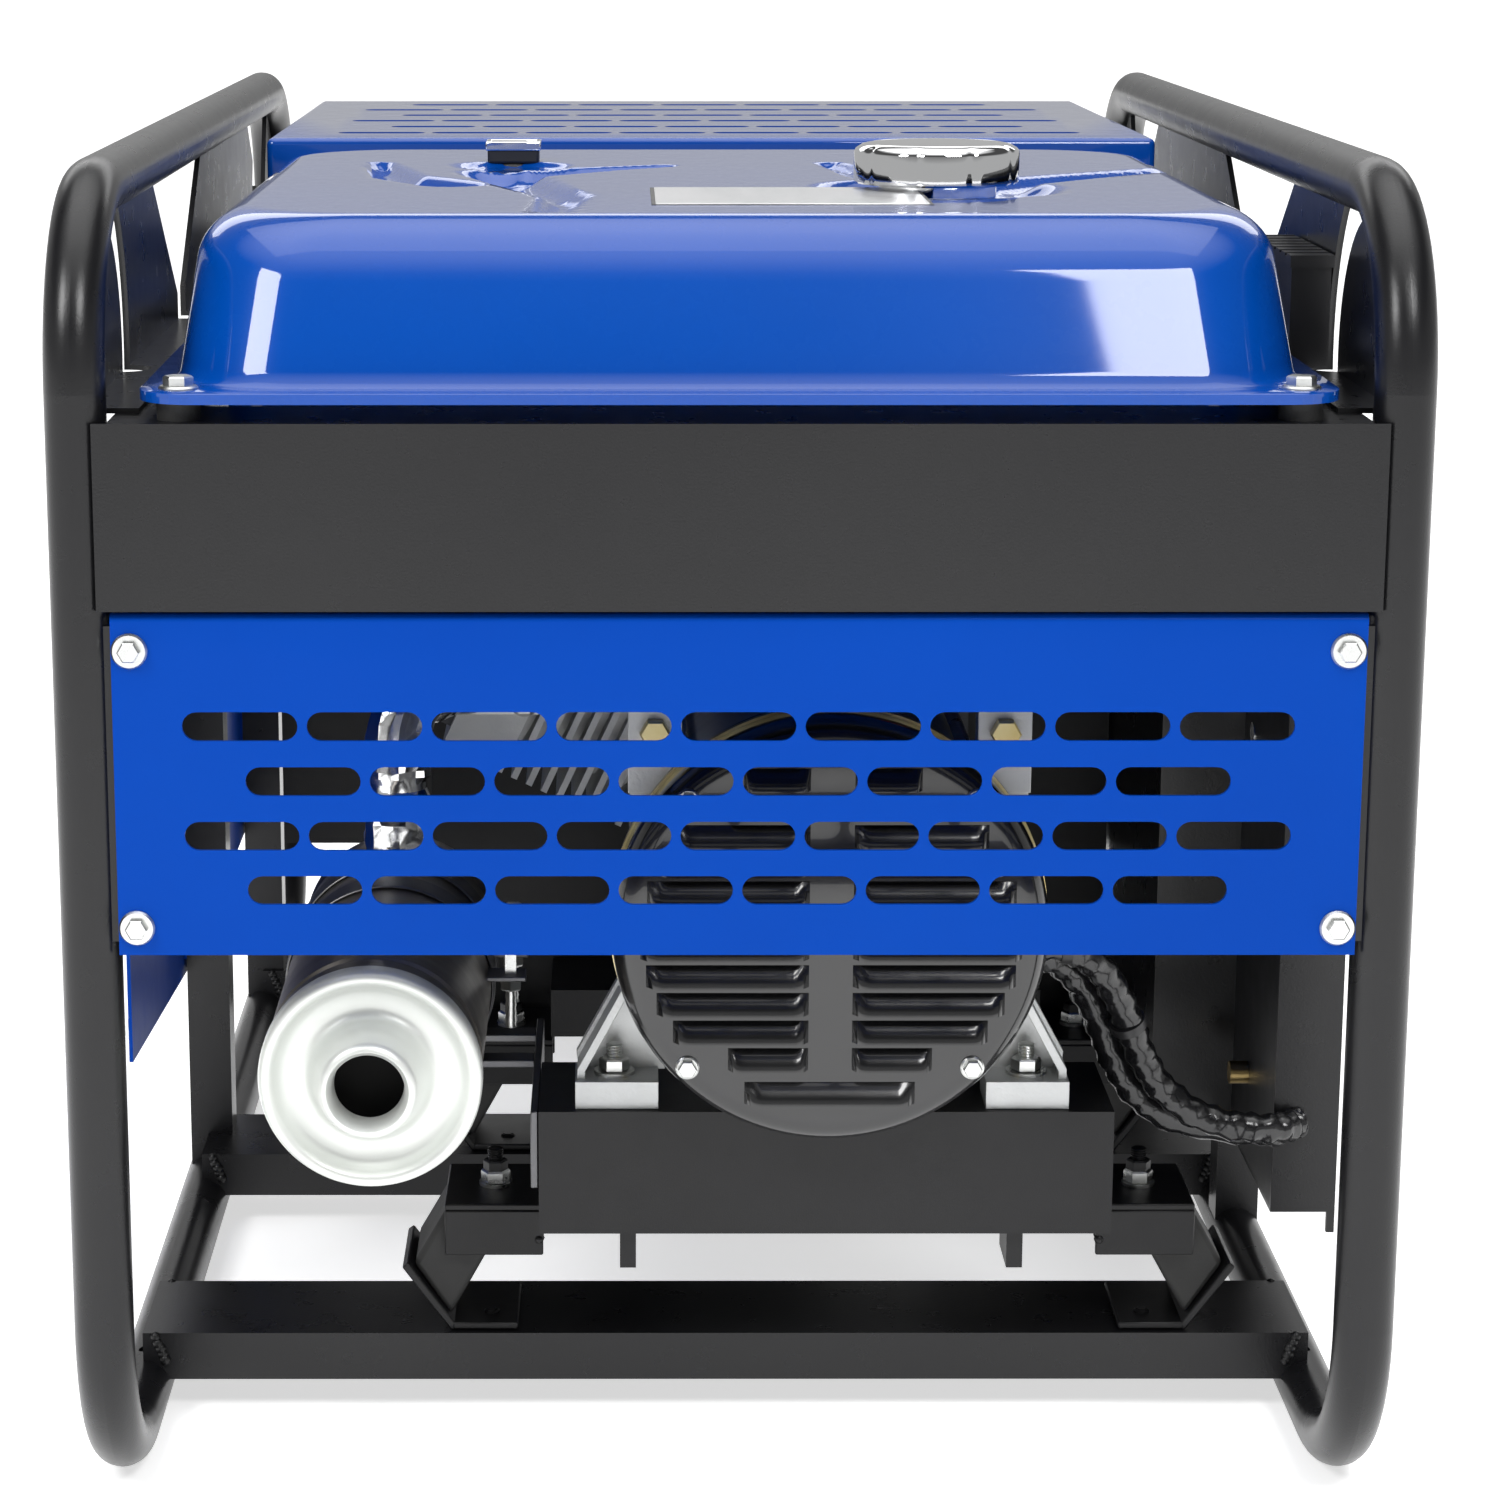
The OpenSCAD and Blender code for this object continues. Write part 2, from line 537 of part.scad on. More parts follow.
// exhaust
module muffler_body() color("#8e9092") difference() {
    cy([muf_x, muf_y, muf_z], muffler_d, muffler_l);
    cy([muf_x, muf_y - 1, muf_z], muffler_d - 4, muffler_l - 1);
    translate([muf_x, muf_y + muffler_l - 30, muf_z]) cylinder(d = pipe_d + 0.2, h = 100);
}
module muffler_end_cap() color("#c8cbce") translate([muf_x, muf_y, muf_z]) rotate([90, 0, 0]) rotate_extrude($fn = 96)
    polygon([[20, 26], [22, 26], [30, 4], [40, 1], [46, 3], [muffler_d/2, 8], [muffler_d/2, 0],
        [muffler_d/2 - 2.2, 0], [muffler_d/2 - 2.2, -8], [muffler_d/2 - 4.2, -8],
        [muffler_d/2 - 4.2, 2], [46, 0], [40, -2], [28.6, 1]]);
module muffler_clamps() color("#1b1c1e") {
    for (y = [muf_y + 150, muf_y + 195]) {
        ring_y([muf_x, y, muf_z], muffler_d + 5, muffler_d + 0.2, 22);
        difference() {
            bx([muf_x + 30, beam_x[0] - 4], [y + 4, y + 18], [mount_z[1] - 8, mount_z[1] - 4]);
            cy([muf_x, y, muf_z], muffler_d + 5, 22);
        }
    }
    bx([beam_x[0] - 4, beam_x[0]], [front_beam_y[0] + 2, muf_y + 220], [mount_z[1] - 40, mount_z[1]]);
}
pipe_y = muf_y + muffler_l - 30;
pipe_turn = 46;
module exhaust_pipe() color("#c9ccd0") translate([muf_x, pipe_y, 0]) difference() {
    union() {
        translate([0, 0, muf_z + 20]) cylinder(d = pipe_d, h = 346 - muf_z);
        translate([0, 0, 348]) rotate([0, 0, pipe_turn]) cx([0, 0, 0], pipe_d - 2, 72);
        bx([30, 74], [cyl_y - 76 - pipe_y, cyl_y - 66 - pipe_y], [322, 372]);
    }
    translate([0, 0, muf_z + 19]) cylinder(d = pipe_d - 4, h = 290 - muf_z);
}
lead_d = 17;
lead_x = 205;
lead_y = bell_y + 14;
lead_z = [150, 258];
module alternator_leads() color("#121212") {
    cx([axis_x + 95.8, lead_y, lead_z[1]], lead_d, lead_x - axis_x - 95.8);
    translate([lead_x, lead_y, lead_z[0]]) cylinder(d = lead_d, h = lead_z[1] - lead_z[0]);
    cx([lead_x, lead_y, lead_z[0]], lead_d, 85);
    cy([lead_x + 85, lead_y, lead_z[0]], lead_d, house_y0 - lead_y);
    for (p = [[lead_x, lead_z[1]], [lead_x, lead_z[0]], [lead_x + 85, lead_z[0]]])
        translate([p[0], lead_y, p[1]]) sphere(d = lead_d);
}
module battery() color("#202326") {
    bx([-90, 90], [channel_y[2] - 20, channel_y[2] + 95], [channel_z + channel_h + 3, channel_z + channel_h + 150]);
    bx([-95, 95], [channel_y[2] - 25, channel_y[2] + 100], [channel_z + channel_h, channel_z + channel_h + 3]);
}

// control housing on the right side
module control_housing() color("#17181a") {
    difference() {
        bx([house_x0, house_x1], [house_y0, house_y1], [house_z0, house_z1]);
        bx([house_x0 - 1, house_x1 + 1], [house_y0 + sheet, house_y1 - sheet],
            [house_z0 + sheet, house_z1 - sheet]);
    }
    difference() {
        bx([house_x0 - 44, house_x0], [-225, house_y1], [house_z0 + 10, house_z1]);
        bx([house_x0 - 42, house_x0 + 1], [-223, house_y1 - 2], [house_z0 + 12, house_z1 - 2]);
    }
    bx([house_x0 + 29, house_x1], [house_y0, house_y0 + 3], [house_z0 - 11, house_z0]);
}
module face_hole(yz, d) cx([panel_x - 5, yz[0], yz[1]], d, 12);
module control_panel() color("#2a2c2f") {
    cy([panel_x, rocker_at[0] - 11 - gap, rocker_at[1]], 3 - 2*run_gap, 22 + 2*gap);
    difference() {
    union() {
        bx([panel_x - sheet, panel_x], [house_y0 + sheet, house_y1 - sheet],
            [house_z0 + sheet, house_z1 - sheet]);
        for (y = outlet_y) cx([panel_x, y, outlet_z], 60, 3);
        for (y = [cover_y0, cover_y1 - lug]) bx([panel_x, pin_x + 4], [y, y + lug], [pin_z - 4, pin_z + 4]);
        cy([pin_x, cover_y0, pin_z], pin_d, cover_y1 - cover_y0);
    }
    face_hole(dial_at, 8);
    face_hole(key_at, 8);
    face_hole(breaker_at, 10 + 2*run_gap);
    face_hole(choke_at, 6);
    bx([panel_x - 5, panel_x + 1], [rocker_at[0] - 10 - gap, rocker_at[0] + 10 + gap],
        [rocker_at[1] - 11 - gap, rocker_at[1] + 11 + gap]);
    for (y = stud_y) face_hole([y, stud_z], stud_d);
    for (y = outlet_y, z = [-10, 10]) bx([panel_x - 3, panel_x + 4], [y - 1.5, y + 1.5], [outlet_z + z - 4, outlet_z + z + 4]);
}
}
// weather cover over the outlets, on a pin between two lugs of the panel
cover_y0 = 62;
cover_y1 = 298;
lug = 4;
pin_d = 4;
pin_x = panel_x + 7;
pin_z = outlet_z + 38;
module outlet_cover() color("#3a3c3f") difference() {
    union() {
        cy([pin_x, cover_y0 + lug + gap, pin_z], 9, cover_y1 - cover_y0 - 2*lug - 2*gap);
        bx([pin_x, pin_x + 2.5], [cover_y0 + lug + gap, cover_y1 - lug - gap], [outlet_z - 32, pin_z]);
    }
    cy([pin_x, cover_y0, pin_z], pin_d + 2*run_gap, cover_y1 - cover_y0);
}
module choke_knob() color("#111111") {
    cx([panel_x - 8, choke_at[0], choke_at[1]], 6 - 2*run_gap, 14);
    cx([panel_x + 6, choke_at[0], choke_at[1]], 22, 6);
}
module idle_rocker() color("#151515") difference() {
    cy([panel_x, rocker_at[0] - 10, rocker_at[1]], 22, 20);
    cy([panel_x, rocker_at[0] - 11, rocker_at[1]], 3, 22);
}
module current_dial() color("#18191b") {
    cx([panel_x - 4, dial_at[0], dial_at[1]], 8 - 2*run_gap, 10);
    cx([panel_x + gap, dial_at[0], dial_at[1]], 46, 18);
}
module start_key() color("#9da0a3") {
    cx([panel_x - 4, key_at[0], key_at[1]], 8 - 2*run_gap, 10);
    cx([panel_x + gap, key_at[0], key_at[1]], 20, 6);
    bx([panel_x + 6, panel_x + 24], [key_at[0] - 1.5, key_at[0] + 1.5], [key_at[1] - 11, key_at[1] + 11]);
}
module breaker_button() color("#c02020") {
    cx([panel_x - 4, breaker_at[0], breaker_at[1]], 10, 12);
}
module weld_studs() color("#c7a14a") for (y = stud_y) {
    cx([panel_x - 12, y, stud_z], stud_d, 34);
    translate([panel_x, y, stud_z]) rotate([0, 90, 0]) difference() {
        hex(22, 8);
        cylinder(d = stud_d, h = 8);
    }
}

left_loop();
right_loop();
front_beam();
rear_beam();
side_rails();
side_braces();
base_channels();
uprights();
panel_brackets();
front_panel();
front_panel_bolts();
left_side_panel();
mount_beams();
mount_feet();
rubber_isolators();
mount_studs();
tank_upper_shell();
tank_lower_shell();
tank_bolts();
tank_grommets();
fuel_gauge();
filler_neck();
cap_seal();
cap_shell();
fuel_valve_body();
fuel_valve_lever();
vapour_canister();
welder_cover();
welder_pan();
reactor();
rectifier();
alternator_cover();
cover_bolts();
end_bell();
stator_barrel();
stator_core();
rotor();
crankshaft();
bearings();
crankcase();
engine_cylinder();
valve_cover();
air_cleaner();
blower_housing();
flywheel();
muffler_body();
muffler_end_cap();
muffler_clamps();
exhaust_pipe();
alternator_leads();
battery();
control_housing();
control_panel();
outlet_cover();
current_dial();
start_key();
choke_knob();
idle_rocker();
breaker_button();
weld_studs();
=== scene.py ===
# %% [markdown]
# # An engine driven welder
# The machine is a carry frame of bent tube with an engine, an alternator and a
# welding power pack inside it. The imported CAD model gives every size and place,
# so this notebook only adds finishes and the finer shapes: pressed sheet, cast
# metal, a polished cap, crumpled foil. We load the model first and keep its box,
# because nothing we add may stand outside it.

# %% Load the frame
import bpy
import math
import random
from mathutils import Matrix, Vector


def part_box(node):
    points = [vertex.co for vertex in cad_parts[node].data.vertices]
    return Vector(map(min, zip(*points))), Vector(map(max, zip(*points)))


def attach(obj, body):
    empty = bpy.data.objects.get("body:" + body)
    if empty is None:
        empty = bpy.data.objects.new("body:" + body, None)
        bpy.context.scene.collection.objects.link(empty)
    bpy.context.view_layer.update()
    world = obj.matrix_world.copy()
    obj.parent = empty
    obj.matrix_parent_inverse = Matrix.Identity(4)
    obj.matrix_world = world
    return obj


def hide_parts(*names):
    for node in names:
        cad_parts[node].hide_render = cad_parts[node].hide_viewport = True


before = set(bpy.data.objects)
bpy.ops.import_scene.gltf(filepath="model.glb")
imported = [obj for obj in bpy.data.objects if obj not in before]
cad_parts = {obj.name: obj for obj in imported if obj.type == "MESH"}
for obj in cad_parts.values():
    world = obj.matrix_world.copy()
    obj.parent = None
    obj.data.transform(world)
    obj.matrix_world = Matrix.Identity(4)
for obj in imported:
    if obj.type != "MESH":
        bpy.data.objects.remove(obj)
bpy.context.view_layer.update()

# %% [markdown]
# ## Camera
# A long lens from slightly above, facing the alternator end. The lens and the
# place were worked out from the round tubes of the frame. A small sideways shift
# keeps the upright tubes parallel to the picture's edge.

# %% Camera
cam_data = bpy.data.cameras.new("camera")
cam_data.lens = 91.2
cam_data.sensor_width = 36.0
cam_data.shift_x = 0.0833
camera = bpy.data.objects.new("camera", cam_data)
camera.location = (-0.0533, -2.2011, 0.761)
camera.rotation_euler = (math.radians(90 - 12.71), math.radians(0.0), math.radians(-0.06))
bpy.context.scene.collection.objects.link(camera)
bpy.context.scene.camera = camera
print("camera at", tuple(camera.location))

# %% [markdown]
# ## Mesh helpers
# Every shape here is a list of points and a list of faces. A *lathe* turns an
# outline about an axis, a *sweep* pushes a circle along a line, and a *block* is
# a box whose edges get a small bevel later. Real sheet and castings never have
# knife edges, and the bevel is what catches the light.

# %% Mesh helpers
def block(lo, hi):
    x, y, z = zip(lo, hi)
    verts = [(x[i], y[j], z[k]) for i in (0, 1) for j in (0, 1) for k in (0, 1)]
    faces = [(0, 1, 3, 2), (4, 6, 7, 5), (0, 4, 5, 1), (2, 3, 7, 6), (0, 2, 6, 4), (1, 5, 7, 3)]
    return verts, faces


UNTURNED = Matrix.Identity(4)


def turned(shape, rotation, place):
    matrix = Matrix.Translation(Vector(place)) @ rotation
    return [tuple(matrix @ Vector(v)) for v in shape[0]], shape[1]


def facing(direction):
    return Vector((0, 0, 1)).rotation_difference(Vector(direction)).to_matrix().to_4x4()


def lathe(outline, segments=64, wobble=None):
    """Turns (radius, height) points about Z. wobble(angle) scales the radius."""
    verts, faces = [], []
    for r, h in outline:
        for i in range(segments):
            a = 2 * math.pi * i / segments
            rr = r * (wobble(a, h) if wobble else 1.0)
            verts.append((rr * math.cos(a), rr * math.sin(a), h))
    for k in range(len(outline) - 1):
        for i in range(segments):
            j = (i + 1) % segments
            faces.append((k * segments + i, k * segments + j, (k + 1) * segments + j, (k + 1) * segments + i))
    if outline[0][0] > 1e-6:
        faces.append(tuple(reversed(range(segments))))
    if outline[-1][0] > 1e-6:
        last = (len(outline) - 1) * segments
        faces.append(tuple(range(last, last + segments)))
    return verts, faces


def ring(outline, segments=64):
    """Like lathe, but the outline is a closed loop, so the piece has a hole."""
    n = len(outline)
    verts = [(r * math.cos(2 * math.pi * i / segments), r * math.sin(2 * math.pi * i / segments), h)
             for r, h in outline for i in range(segments)]
    faces = []
    for k in range(n):
        for i in range(segments):
            j, m = (i + 1) % segments, (k + 1) % n
            faces.append((k * segments + i, k * segments + j, m * segments + j, m * segments + i))
    return verts, faces


def sweep(points, radius, sides=20, smooth_steps=0):
    """A round bar along points. radius may be a number or a function of (step, angle)."""
    path = [Vector(p) for p in points]
    for _ in range(smooth_steps):
        finer = [path[0]]
        for a, b in zip(path, path[1:]):
            finer += [a.lerp(b, 0.25), a.lerp(b, 0.75)]
        path = finer + [path[-1]]
    side = Vector((0, 0, 1)).cross(path[1] - path[0])
    if side.length < 1e-6:
        side = Vector((1, 0, 0))
    verts, faces = [], []
    for k, p in enumerate(path):
        along = (path[min(k + 1, len(path) - 1)] - path[max(k - 1, 0)]).normalized()
        side = (side - along * side.dot(along)).normalized()
        other = along.cross(side)
        for i in range(sides):
            a = 2 * math.pi * i / sides
            r = radius(k, a) if callable(radius) else radius
            verts.append(tuple(p + side * (r * math.cos(a)) + other * (r * math.sin(a))))
    for k in range(len(path) - 1):
        for i in range(sides):
            j = (i + 1) % sides
            faces.append((k * sides + i, k * sides + j, (k + 1) * sides + j, (k + 1) * sides + i))
    faces.append(tuple(reversed(range(sides))))
    faces.append(tuple(range((len(path) - 1) * sides, len(path) * sides)))
    return verts, faces


def hexagon(across_flats, height):
    r = across_flats / math.sqrt(3)
    outline = [(r * 0.86, 0.0), (r, height * 0.08), (r, height * 0.86), (r * 0.88, height)]
    return lathe(outline, 6)


def merged(shapes):
    verts, faces = [], []
    for v, f in shapes:
        base = len(verts)
        verts += v
        faces += [tuple(base + i for i in face) for face in f]
    return verts, faces


def prism(outline, depth):
    """Pushes a flat outline of (x, y) points up Z by depth."""
    n = len(outline)
    verts = [(x, y, 0.0) for x, y in outline] + [(x, y, depth) for x, y in outline]
    faces = [tuple(reversed(range(n))), tuple(range(n, 2 * n))]
    faces += [(i, (i + 1) % n, n + (i + 1) % n, n + i) for i in range(n)]
    return verts, faces


# %% [markdown]
# A piece is a mesh with a finish that rides on one of the CAD bodies. When it
# stands for a CAD node, that node is hidden and the piece takes its place.

# %% Making a piece
def piece(name, shape, finish, body="root", stands_for=(), bevel=0.0, angle=35, segments=2):
    mesh = bpy.data.meshes.new(name)
    mesh.from_pydata(shape[0], [], shape[1])
    mesh.validate()
    mesh.shade_smooth()
    mesh.set_sharp_from_angle(angle=math.radians(angle))
    mesh.materials.append(finish)
    obj = bpy.data.objects.new(name, mesh)
    bpy.context.scene.collection.objects.link(obj)
    if bevel:
        mod = obj.modifiers.new("rounded_edges", "BEVEL")
        mod.width = bevel
        mod.segments = segments
        mod.limit_method = "ANGLE"
        mod.angle_limit = math.radians(40)
        mod.harden_normals = False
    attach(obj, body)
    if stands_for:
        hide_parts(*stands_for)
    print(name, len(mesh.vertices), "points")
    return obj


# %% [markdown]
# ## Finishes
# All finishes are built from nodes. A helper starts each one with a colour that
# varies a little, a roughness that varies a little, and a fine bump. The
# numbers that stay the same all over go straight on the shader's own sockets.

# %% Finish helper
def finish(name, colour, second, metallic=0.0, rough=(0.3, 0.45), grain=60.0, bump=0.1,
           bump_size=400.0, coat=0.0, shine=0.5, stretch=(1, 1, 1), patches=6.0, distance=0.0004):
    mat = bpy.data.materials.new(name)
    mat.use_nodes = True
    nodes, links = mat.node_tree.nodes, mat.node_tree.links
    shader = nodes["Principled BSDF"]
    shader.inputs["Metallic"].default_value = metallic
    shader.inputs["Coat Weight"].default_value = coat
    shader.inputs["Coat Roughness"].default_value = 0.04
    shader.inputs["Specular IOR Level"].default_value = shine
    coords = nodes.new("ShaderNodeTexCoord")
    mapping = nodes.new("ShaderNodeMapping")
    mapping.inputs["Scale"].default_value = stretch
    links.new(coords.outputs["Object"], mapping.inputs["Vector"])

    def noise(scale, detail):
        n = nodes.new("ShaderNodeTexNoise")
        n.inputs["Scale"].default_value = scale
        n.inputs["Detail"].default_value = detail
        links.new(mapping.outputs["Vector"], n.inputs["Vector"])
        return n

    wide, fine, tiny = noise(patches, 3.0), noise(grain, 4.0), noise(bump_size, 2.0)
    ramp = nodes.new("ShaderNodeValToRGB")
    ramp.color_ramp.elements[0].position = 0.35
    ramp.color_ramp.elements[1].position = 0.7
    ramp.color_ramp.elements[0].color = (*colour, 1)
    ramp.color_ramp.elements[1].color = (*second, 1)
    links.new(wide.outputs["Fac"], ramp.inputs["Fac"])
    links.new(ramp.outputs["Color"], shader.inputs["Base Color"])
    spread = nodes.new("ShaderNodeMapRange")
    spread.inputs["To Min"].default_value = rough[0]
    spread.inputs["To Max"].default_value = rough[1]
    links.new(fine.outputs["Fac"], spread.inputs["Value"])
    links.new(spread.outputs["Result"], shader.inputs["Roughness"])
    relief = nodes.new("ShaderNodeBump")
    relief.inputs["Strength"].default_value = bump
    relief.inputs["Distance"].default_value = distance
    links.new(tiny.outputs["Fac"], relief.inputs["Height"])
    links.new(relief.outputs["Normal"], shader.inputs["Normal"])
    return mat


# %% [markdown]
# The paint comes first. The tube and beams have a black powder coat with a fine
# orange peel. The tank and panels have a royal blue gloss enamel with a clear coat.

# %% Paints
powder_black = finish("powder_coat_black", (0.005, 0.005, 0.006), (0.008, 0.008, 0.009),
                      rough=(0.24, 0.33), bump=0.15, bump_size=900, coat=0.0, shine=0.4)
satin_black = finish("satin_black_sheet", (0.006, 0.006, 0.0065), (0.01, 0.01, 0.011),
                     rough=(0.32, 0.45), bump=0.2, bump_size=1200, shine=0.32)
tank_blue = finish("tank_blue_enamel", (0.0, 0.052, 0.31), (0.0, 0.056, 0.33),
                   rough=(0.25, 0.3), bump=0.015, bump_size=120, coat=1.0, shine=0.05)
panel_blue = finish("panel_blue_enamel", (0.0, 0.045, 0.33), (0.0, 0.049, 0.35),
                    rough=(0.3, 0.38), bump=0.1, bump_size=900, coat=0.0, shine=0.06)
cover_black = finish("cover_black_enamel", (0.006, 0.006, 0.0065), (0.009, 0.009, 0.01),
                     rough=(0.16, 0.26), bump=0.06, bump_size=300, coat=0.6)
engine_grey = finish("engine_enamel", (0.035, 0.037, 0.04), (0.055, 0.057, 0.06),
                     rough=(0.4, 0.55), bump=0.3, bump_size=500)
red_plastic = finish("red_plastic", (0.5, 0.012, 0.012), (0.6, 0.02, 0.02), rough=(0.3, 0.4))
print("paints ready")

# %% [markdown]
# The bare metals differ mainly in roughness and grain. Rolled sheet has a grain
# that runs one way, so its noise is stretched. Castings have a coarse, sandy skin.

# %% Metals
zinc = finish("bright_zinc", (0.62, 0.63, 0.62), (0.72, 0.73, 0.71), 1.0, (0.22, 0.36), patches=60)
yellow_zinc = finish("yellow_zinc", (0.62, 0.5, 0.22), (0.7, 0.62, 0.36), 1.0, (0.25, 0.4), patches=50)
cast_aluminium = finish("cast_aluminium", (0.5, 0.51, 0.51), (0.62, 0.63, 0.63), 0.9, (0.42, 0.6),
                        bump=0.5, bump_size=450, patches=14)
bare_steel = finish("bare_steel", (0.4, 0.41, 0.42), (0.5, 0.5, 0.5), 1.0, (0.25, 0.4), stretch=(1, 9, 1))
dark_steel = finish("dark_steel", (0.12, 0.12, 0.13), (0.18, 0.18, 0.18), 1.0, (0.35, 0.5))
muffler_skin = finish("aluminised_sheet", (0.58, 0.59, 0.6), (0.7, 0.7, 0.7), 1.0, (0.24, 0.4),
                      stretch=(1, 6, 1), patches=20, bump=0.08)
end_skin = finish("satin_zinc_white", (0.7, 0.72, 0.69), (0.78, 0.8, 0.77), 0.55, (0.34, 0.46),
                  patches=8, bump=0.05)
muffler_steel = finish("heat_brown_steel", (0.2, 0.185, 0.17), (0.3, 0.28, 0.26), 1.0, (0.3, 0.44),
                       stretch=(1, 6, 1), patches=12, bump=0.08)
foil = finish("crumpled_foil", (0.72, 0.73, 0.74), (0.82, 0.82, 0.82), 1.0, (0.12, 0.25),
              bump=0.5, bump_size=90, distance=0.001, patches=40)
chrome = finish("polished_chrome", (0.82, 0.83, 0.84), (0.88, 0.88, 0.89), 1.0, (0.03, 0.07), bump=0.01)
brass = finish("turned_brass", (0.62, 0.45, 0.18), (0.7, 0.52, 0.24), 1.0, (0.22, 0.35), patches=40)
print("metals ready")

# %% [markdown]
# Rubber and plastic are dark and never quite black. A faint mottling keeps them
# from looking like holes in the picture.

# %% Rubber and plastic
rubber = finish("mount_rubber", (0.012, 0.012, 0.012), (0.022, 0.022, 0.021), rough=(0.55, 0.75),
                bump=0.3, bump_size=700)
plastic = finish("moulded_plastic", (0.014, 0.014, 0.015), (0.02, 0.02, 0.022), rough=(0.32, 0.45),
                 bump=0.2, bump_size=1400)
sleeve = finish("shiny_cable_sleeve", (0.008, 0.008, 0.009), (0.016, 0.016, 0.017), rough=(0.15, 0.3),
                bump=0.6, bump_size=160, distance=0.001, coat=0.3)
clear_face = finish("meter_face", (0.75, 0.76, 0.77), (0.82, 0.82, 0.82), rough=(0.1, 0.16), coat=0.8)
plate_metal = finish("blank_plate", (0.6, 0.61, 0.62), (0.7, 0.7, 0.71), 0.8, (0.25, 0.35), stretch=(8, 1, 1))
print("plastics ready")

# %% [markdown]
# Every CAD node that keeps its own shape gets its finish here.

# %% Finishes on the CAD nodes
NODE_FINISH = {
    "left_loop": powder_black, "right_loop": powder_black, "front_beam": powder_black,
    "rear_beam": powder_black, "side_rails": powder_black, "side_braces": powder_black,
    "base_channels": powder_black, "uprights": powder_black, "panel_brackets": powder_black,
    "front_panel": panel_blue, "front_panel_bolts": zinc, "left_side_panel": panel_blue,
    "mount_beams": satin_black, "mount_feet": satin_black, "rubber_isolators": rubber,
    "mount_studs": zinc, "tank_upper_shell": tank_blue, "tank_lower_shell": tank_blue,
    "tank_bolts": zinc, "tank_grommets": rubber, "fuel_gauge": plastic, "filler_neck": chrome,
    "cap_seal": rubber, "cap_shell": chrome, "fuel_valve_body": brass, "fuel_valve_lever": red_plastic,
    "vapour_canister": plastic, "welder_cover": tank_blue, "welder_pan": satin_black,
    "reactor": dark_steel, "rectifier": cast_aluminium, "alternator_cover": cover_black,
    "cover_bolts": zinc, "end_bell": cast_aluminium, "stator_barrel": bare_steel,
    "stator_core": dark_steel, "rotor": dark_steel, "crankshaft": bare_steel, "bearings": bare_steel,
    "crankcase": engine_grey, "engine_cylinder": cast_aluminium, "valve_cover": engine_grey,
    "air_cleaner": plastic, "blower_housing": cover_black, "flywheel": cast_aluminium,
    "muffler_body": muffler_skin, "muffler_end_cap": muffler_skin, "muffler_clamps": satin_black,
    "exhaust_pipe": foil, "alternator_leads": sleeve, "battery": plastic,
    "control_housing": powder_black, "control_panel": satin_black, "outlet_cover": plastic,
    "current_dial": plastic, "start_key": bare_steel, "choke_knob": plastic, "idle_rocker": plastic,
    "breaker_button": red_plastic, "weld_studs": brass,
}
for name, material in NODE_FINISH.items():
    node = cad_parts[name]
    node.data.materials.clear()
    node.data.materials.append(material)
print(len(NODE_FINISH), "nodes finished of", len(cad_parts))

# %% [markdown]
# ## Studio
# A pale, faintly glowing floor under a sky that is dark at middle height, where the
# tank's paint would mirror it. The camera itself sees a plain white backdrop. One
# soft light above, one at each side in front and one behind do the rest, and their
# mirror images make the pale sheets seen on the tank.

# %% Studio
floor = bpy.data.meshes.new("floor")
FLOOR = 60.0
floor.from_pydata([(-FLOOR, -FLOOR, 0), (FLOOR, -FLOOR, 0), (FLOOR, FLOOR, 0), (-FLOOR, FLOOR, 0)], [],
                  [(0, 1, 2, 3)])
floor_obj = bpy.data.objects.new("floor", floor)
floor_mat = finish("pale_floor", (0.92, 0.92, 0.92), (0.94, 0.94, 0.94), rough=(0.6, 0.7), bump=0.0)
floor_glow = floor_mat.node_tree.nodes["Principled BSDF"]
floor_glow.inputs["Emission Color"].default_value = (1.0, 1.0, 1.0, 1)
floor_glow.inputs["Emission Strength"].default_value = 0.62
floor.materials.append(floor_mat)
bpy.context.scene.collection.objects.link(floor_obj)
world = bpy.data.worlds.new("studio")
bpy.context.scene.world = world
world.use_nodes = True
sky = world.node_tree.nodes
sky_links = world.node_tree.links
direction = sky.new("ShaderNodeTexCoord")
axes = sky.new("ShaderNodeSeparateXYZ")
heights = sky.new("ShaderNodeValToRGB")
heights.color_ramp.elements[0].position = 0.28
heights.color_ramp.elements[0].color = (0.25, 0.25, 0.25, 1)
heights.color_ramp.elements[1].position = 0.95
heights.color_ramp.elements[1].color = (1.0, 1.0, 1.0, 1)
for place in (0.45, 0.68):
    heights.color_ramp.elements.new(place).color = (0.04, 0.04, 0.04, 1)
fade = sky.new("ShaderNodeMath")
fade.operation = "MULTIPLY"
fade.inputs[1].default_value = 1.8
sky_links.new(direction.outputs["Generated"], axes.inputs["Vector"])
sky_links.new(axes.outputs["Z"], heights.inputs["Fac"])
sky_links.new(heights.outputs["Color"], fade.inputs[0])
seen = sky.new("ShaderNodeLightPath")
backdrop = sky.new("ShaderNodeMix")
backdrop.inputs["B"].default_value = 1.2
sky_links.new(seen.outputs["Is Camera Ray"], backdrop.inputs["Factor"])
sky_links.new(fade.outputs["Value"], backdrop.inputs["A"])
sky_links.new(backdrop.outputs["Result"], sky["Background"].inputs["Strength"])
sky["Background"].inputs["Color"].default_value = (1.0, 1.0, 1.0, 1)


def soft_light(name, place, target, size, power):
    data = bpy.data.lights.new(name, "AREA")
    data.shape = "RECTANGLE"
    data.size, data.size_y = size
    data.energy = power
    lamp = bpy.data.objects.new(name, data)
    lamp.location = place
    lamp.rotation_euler = (Vector(target) - Vector(place)).to_track_quat("-Z", "Y").to_euler()
    bpy.context.scene.collection.objects.link(lamp)
    return lamp


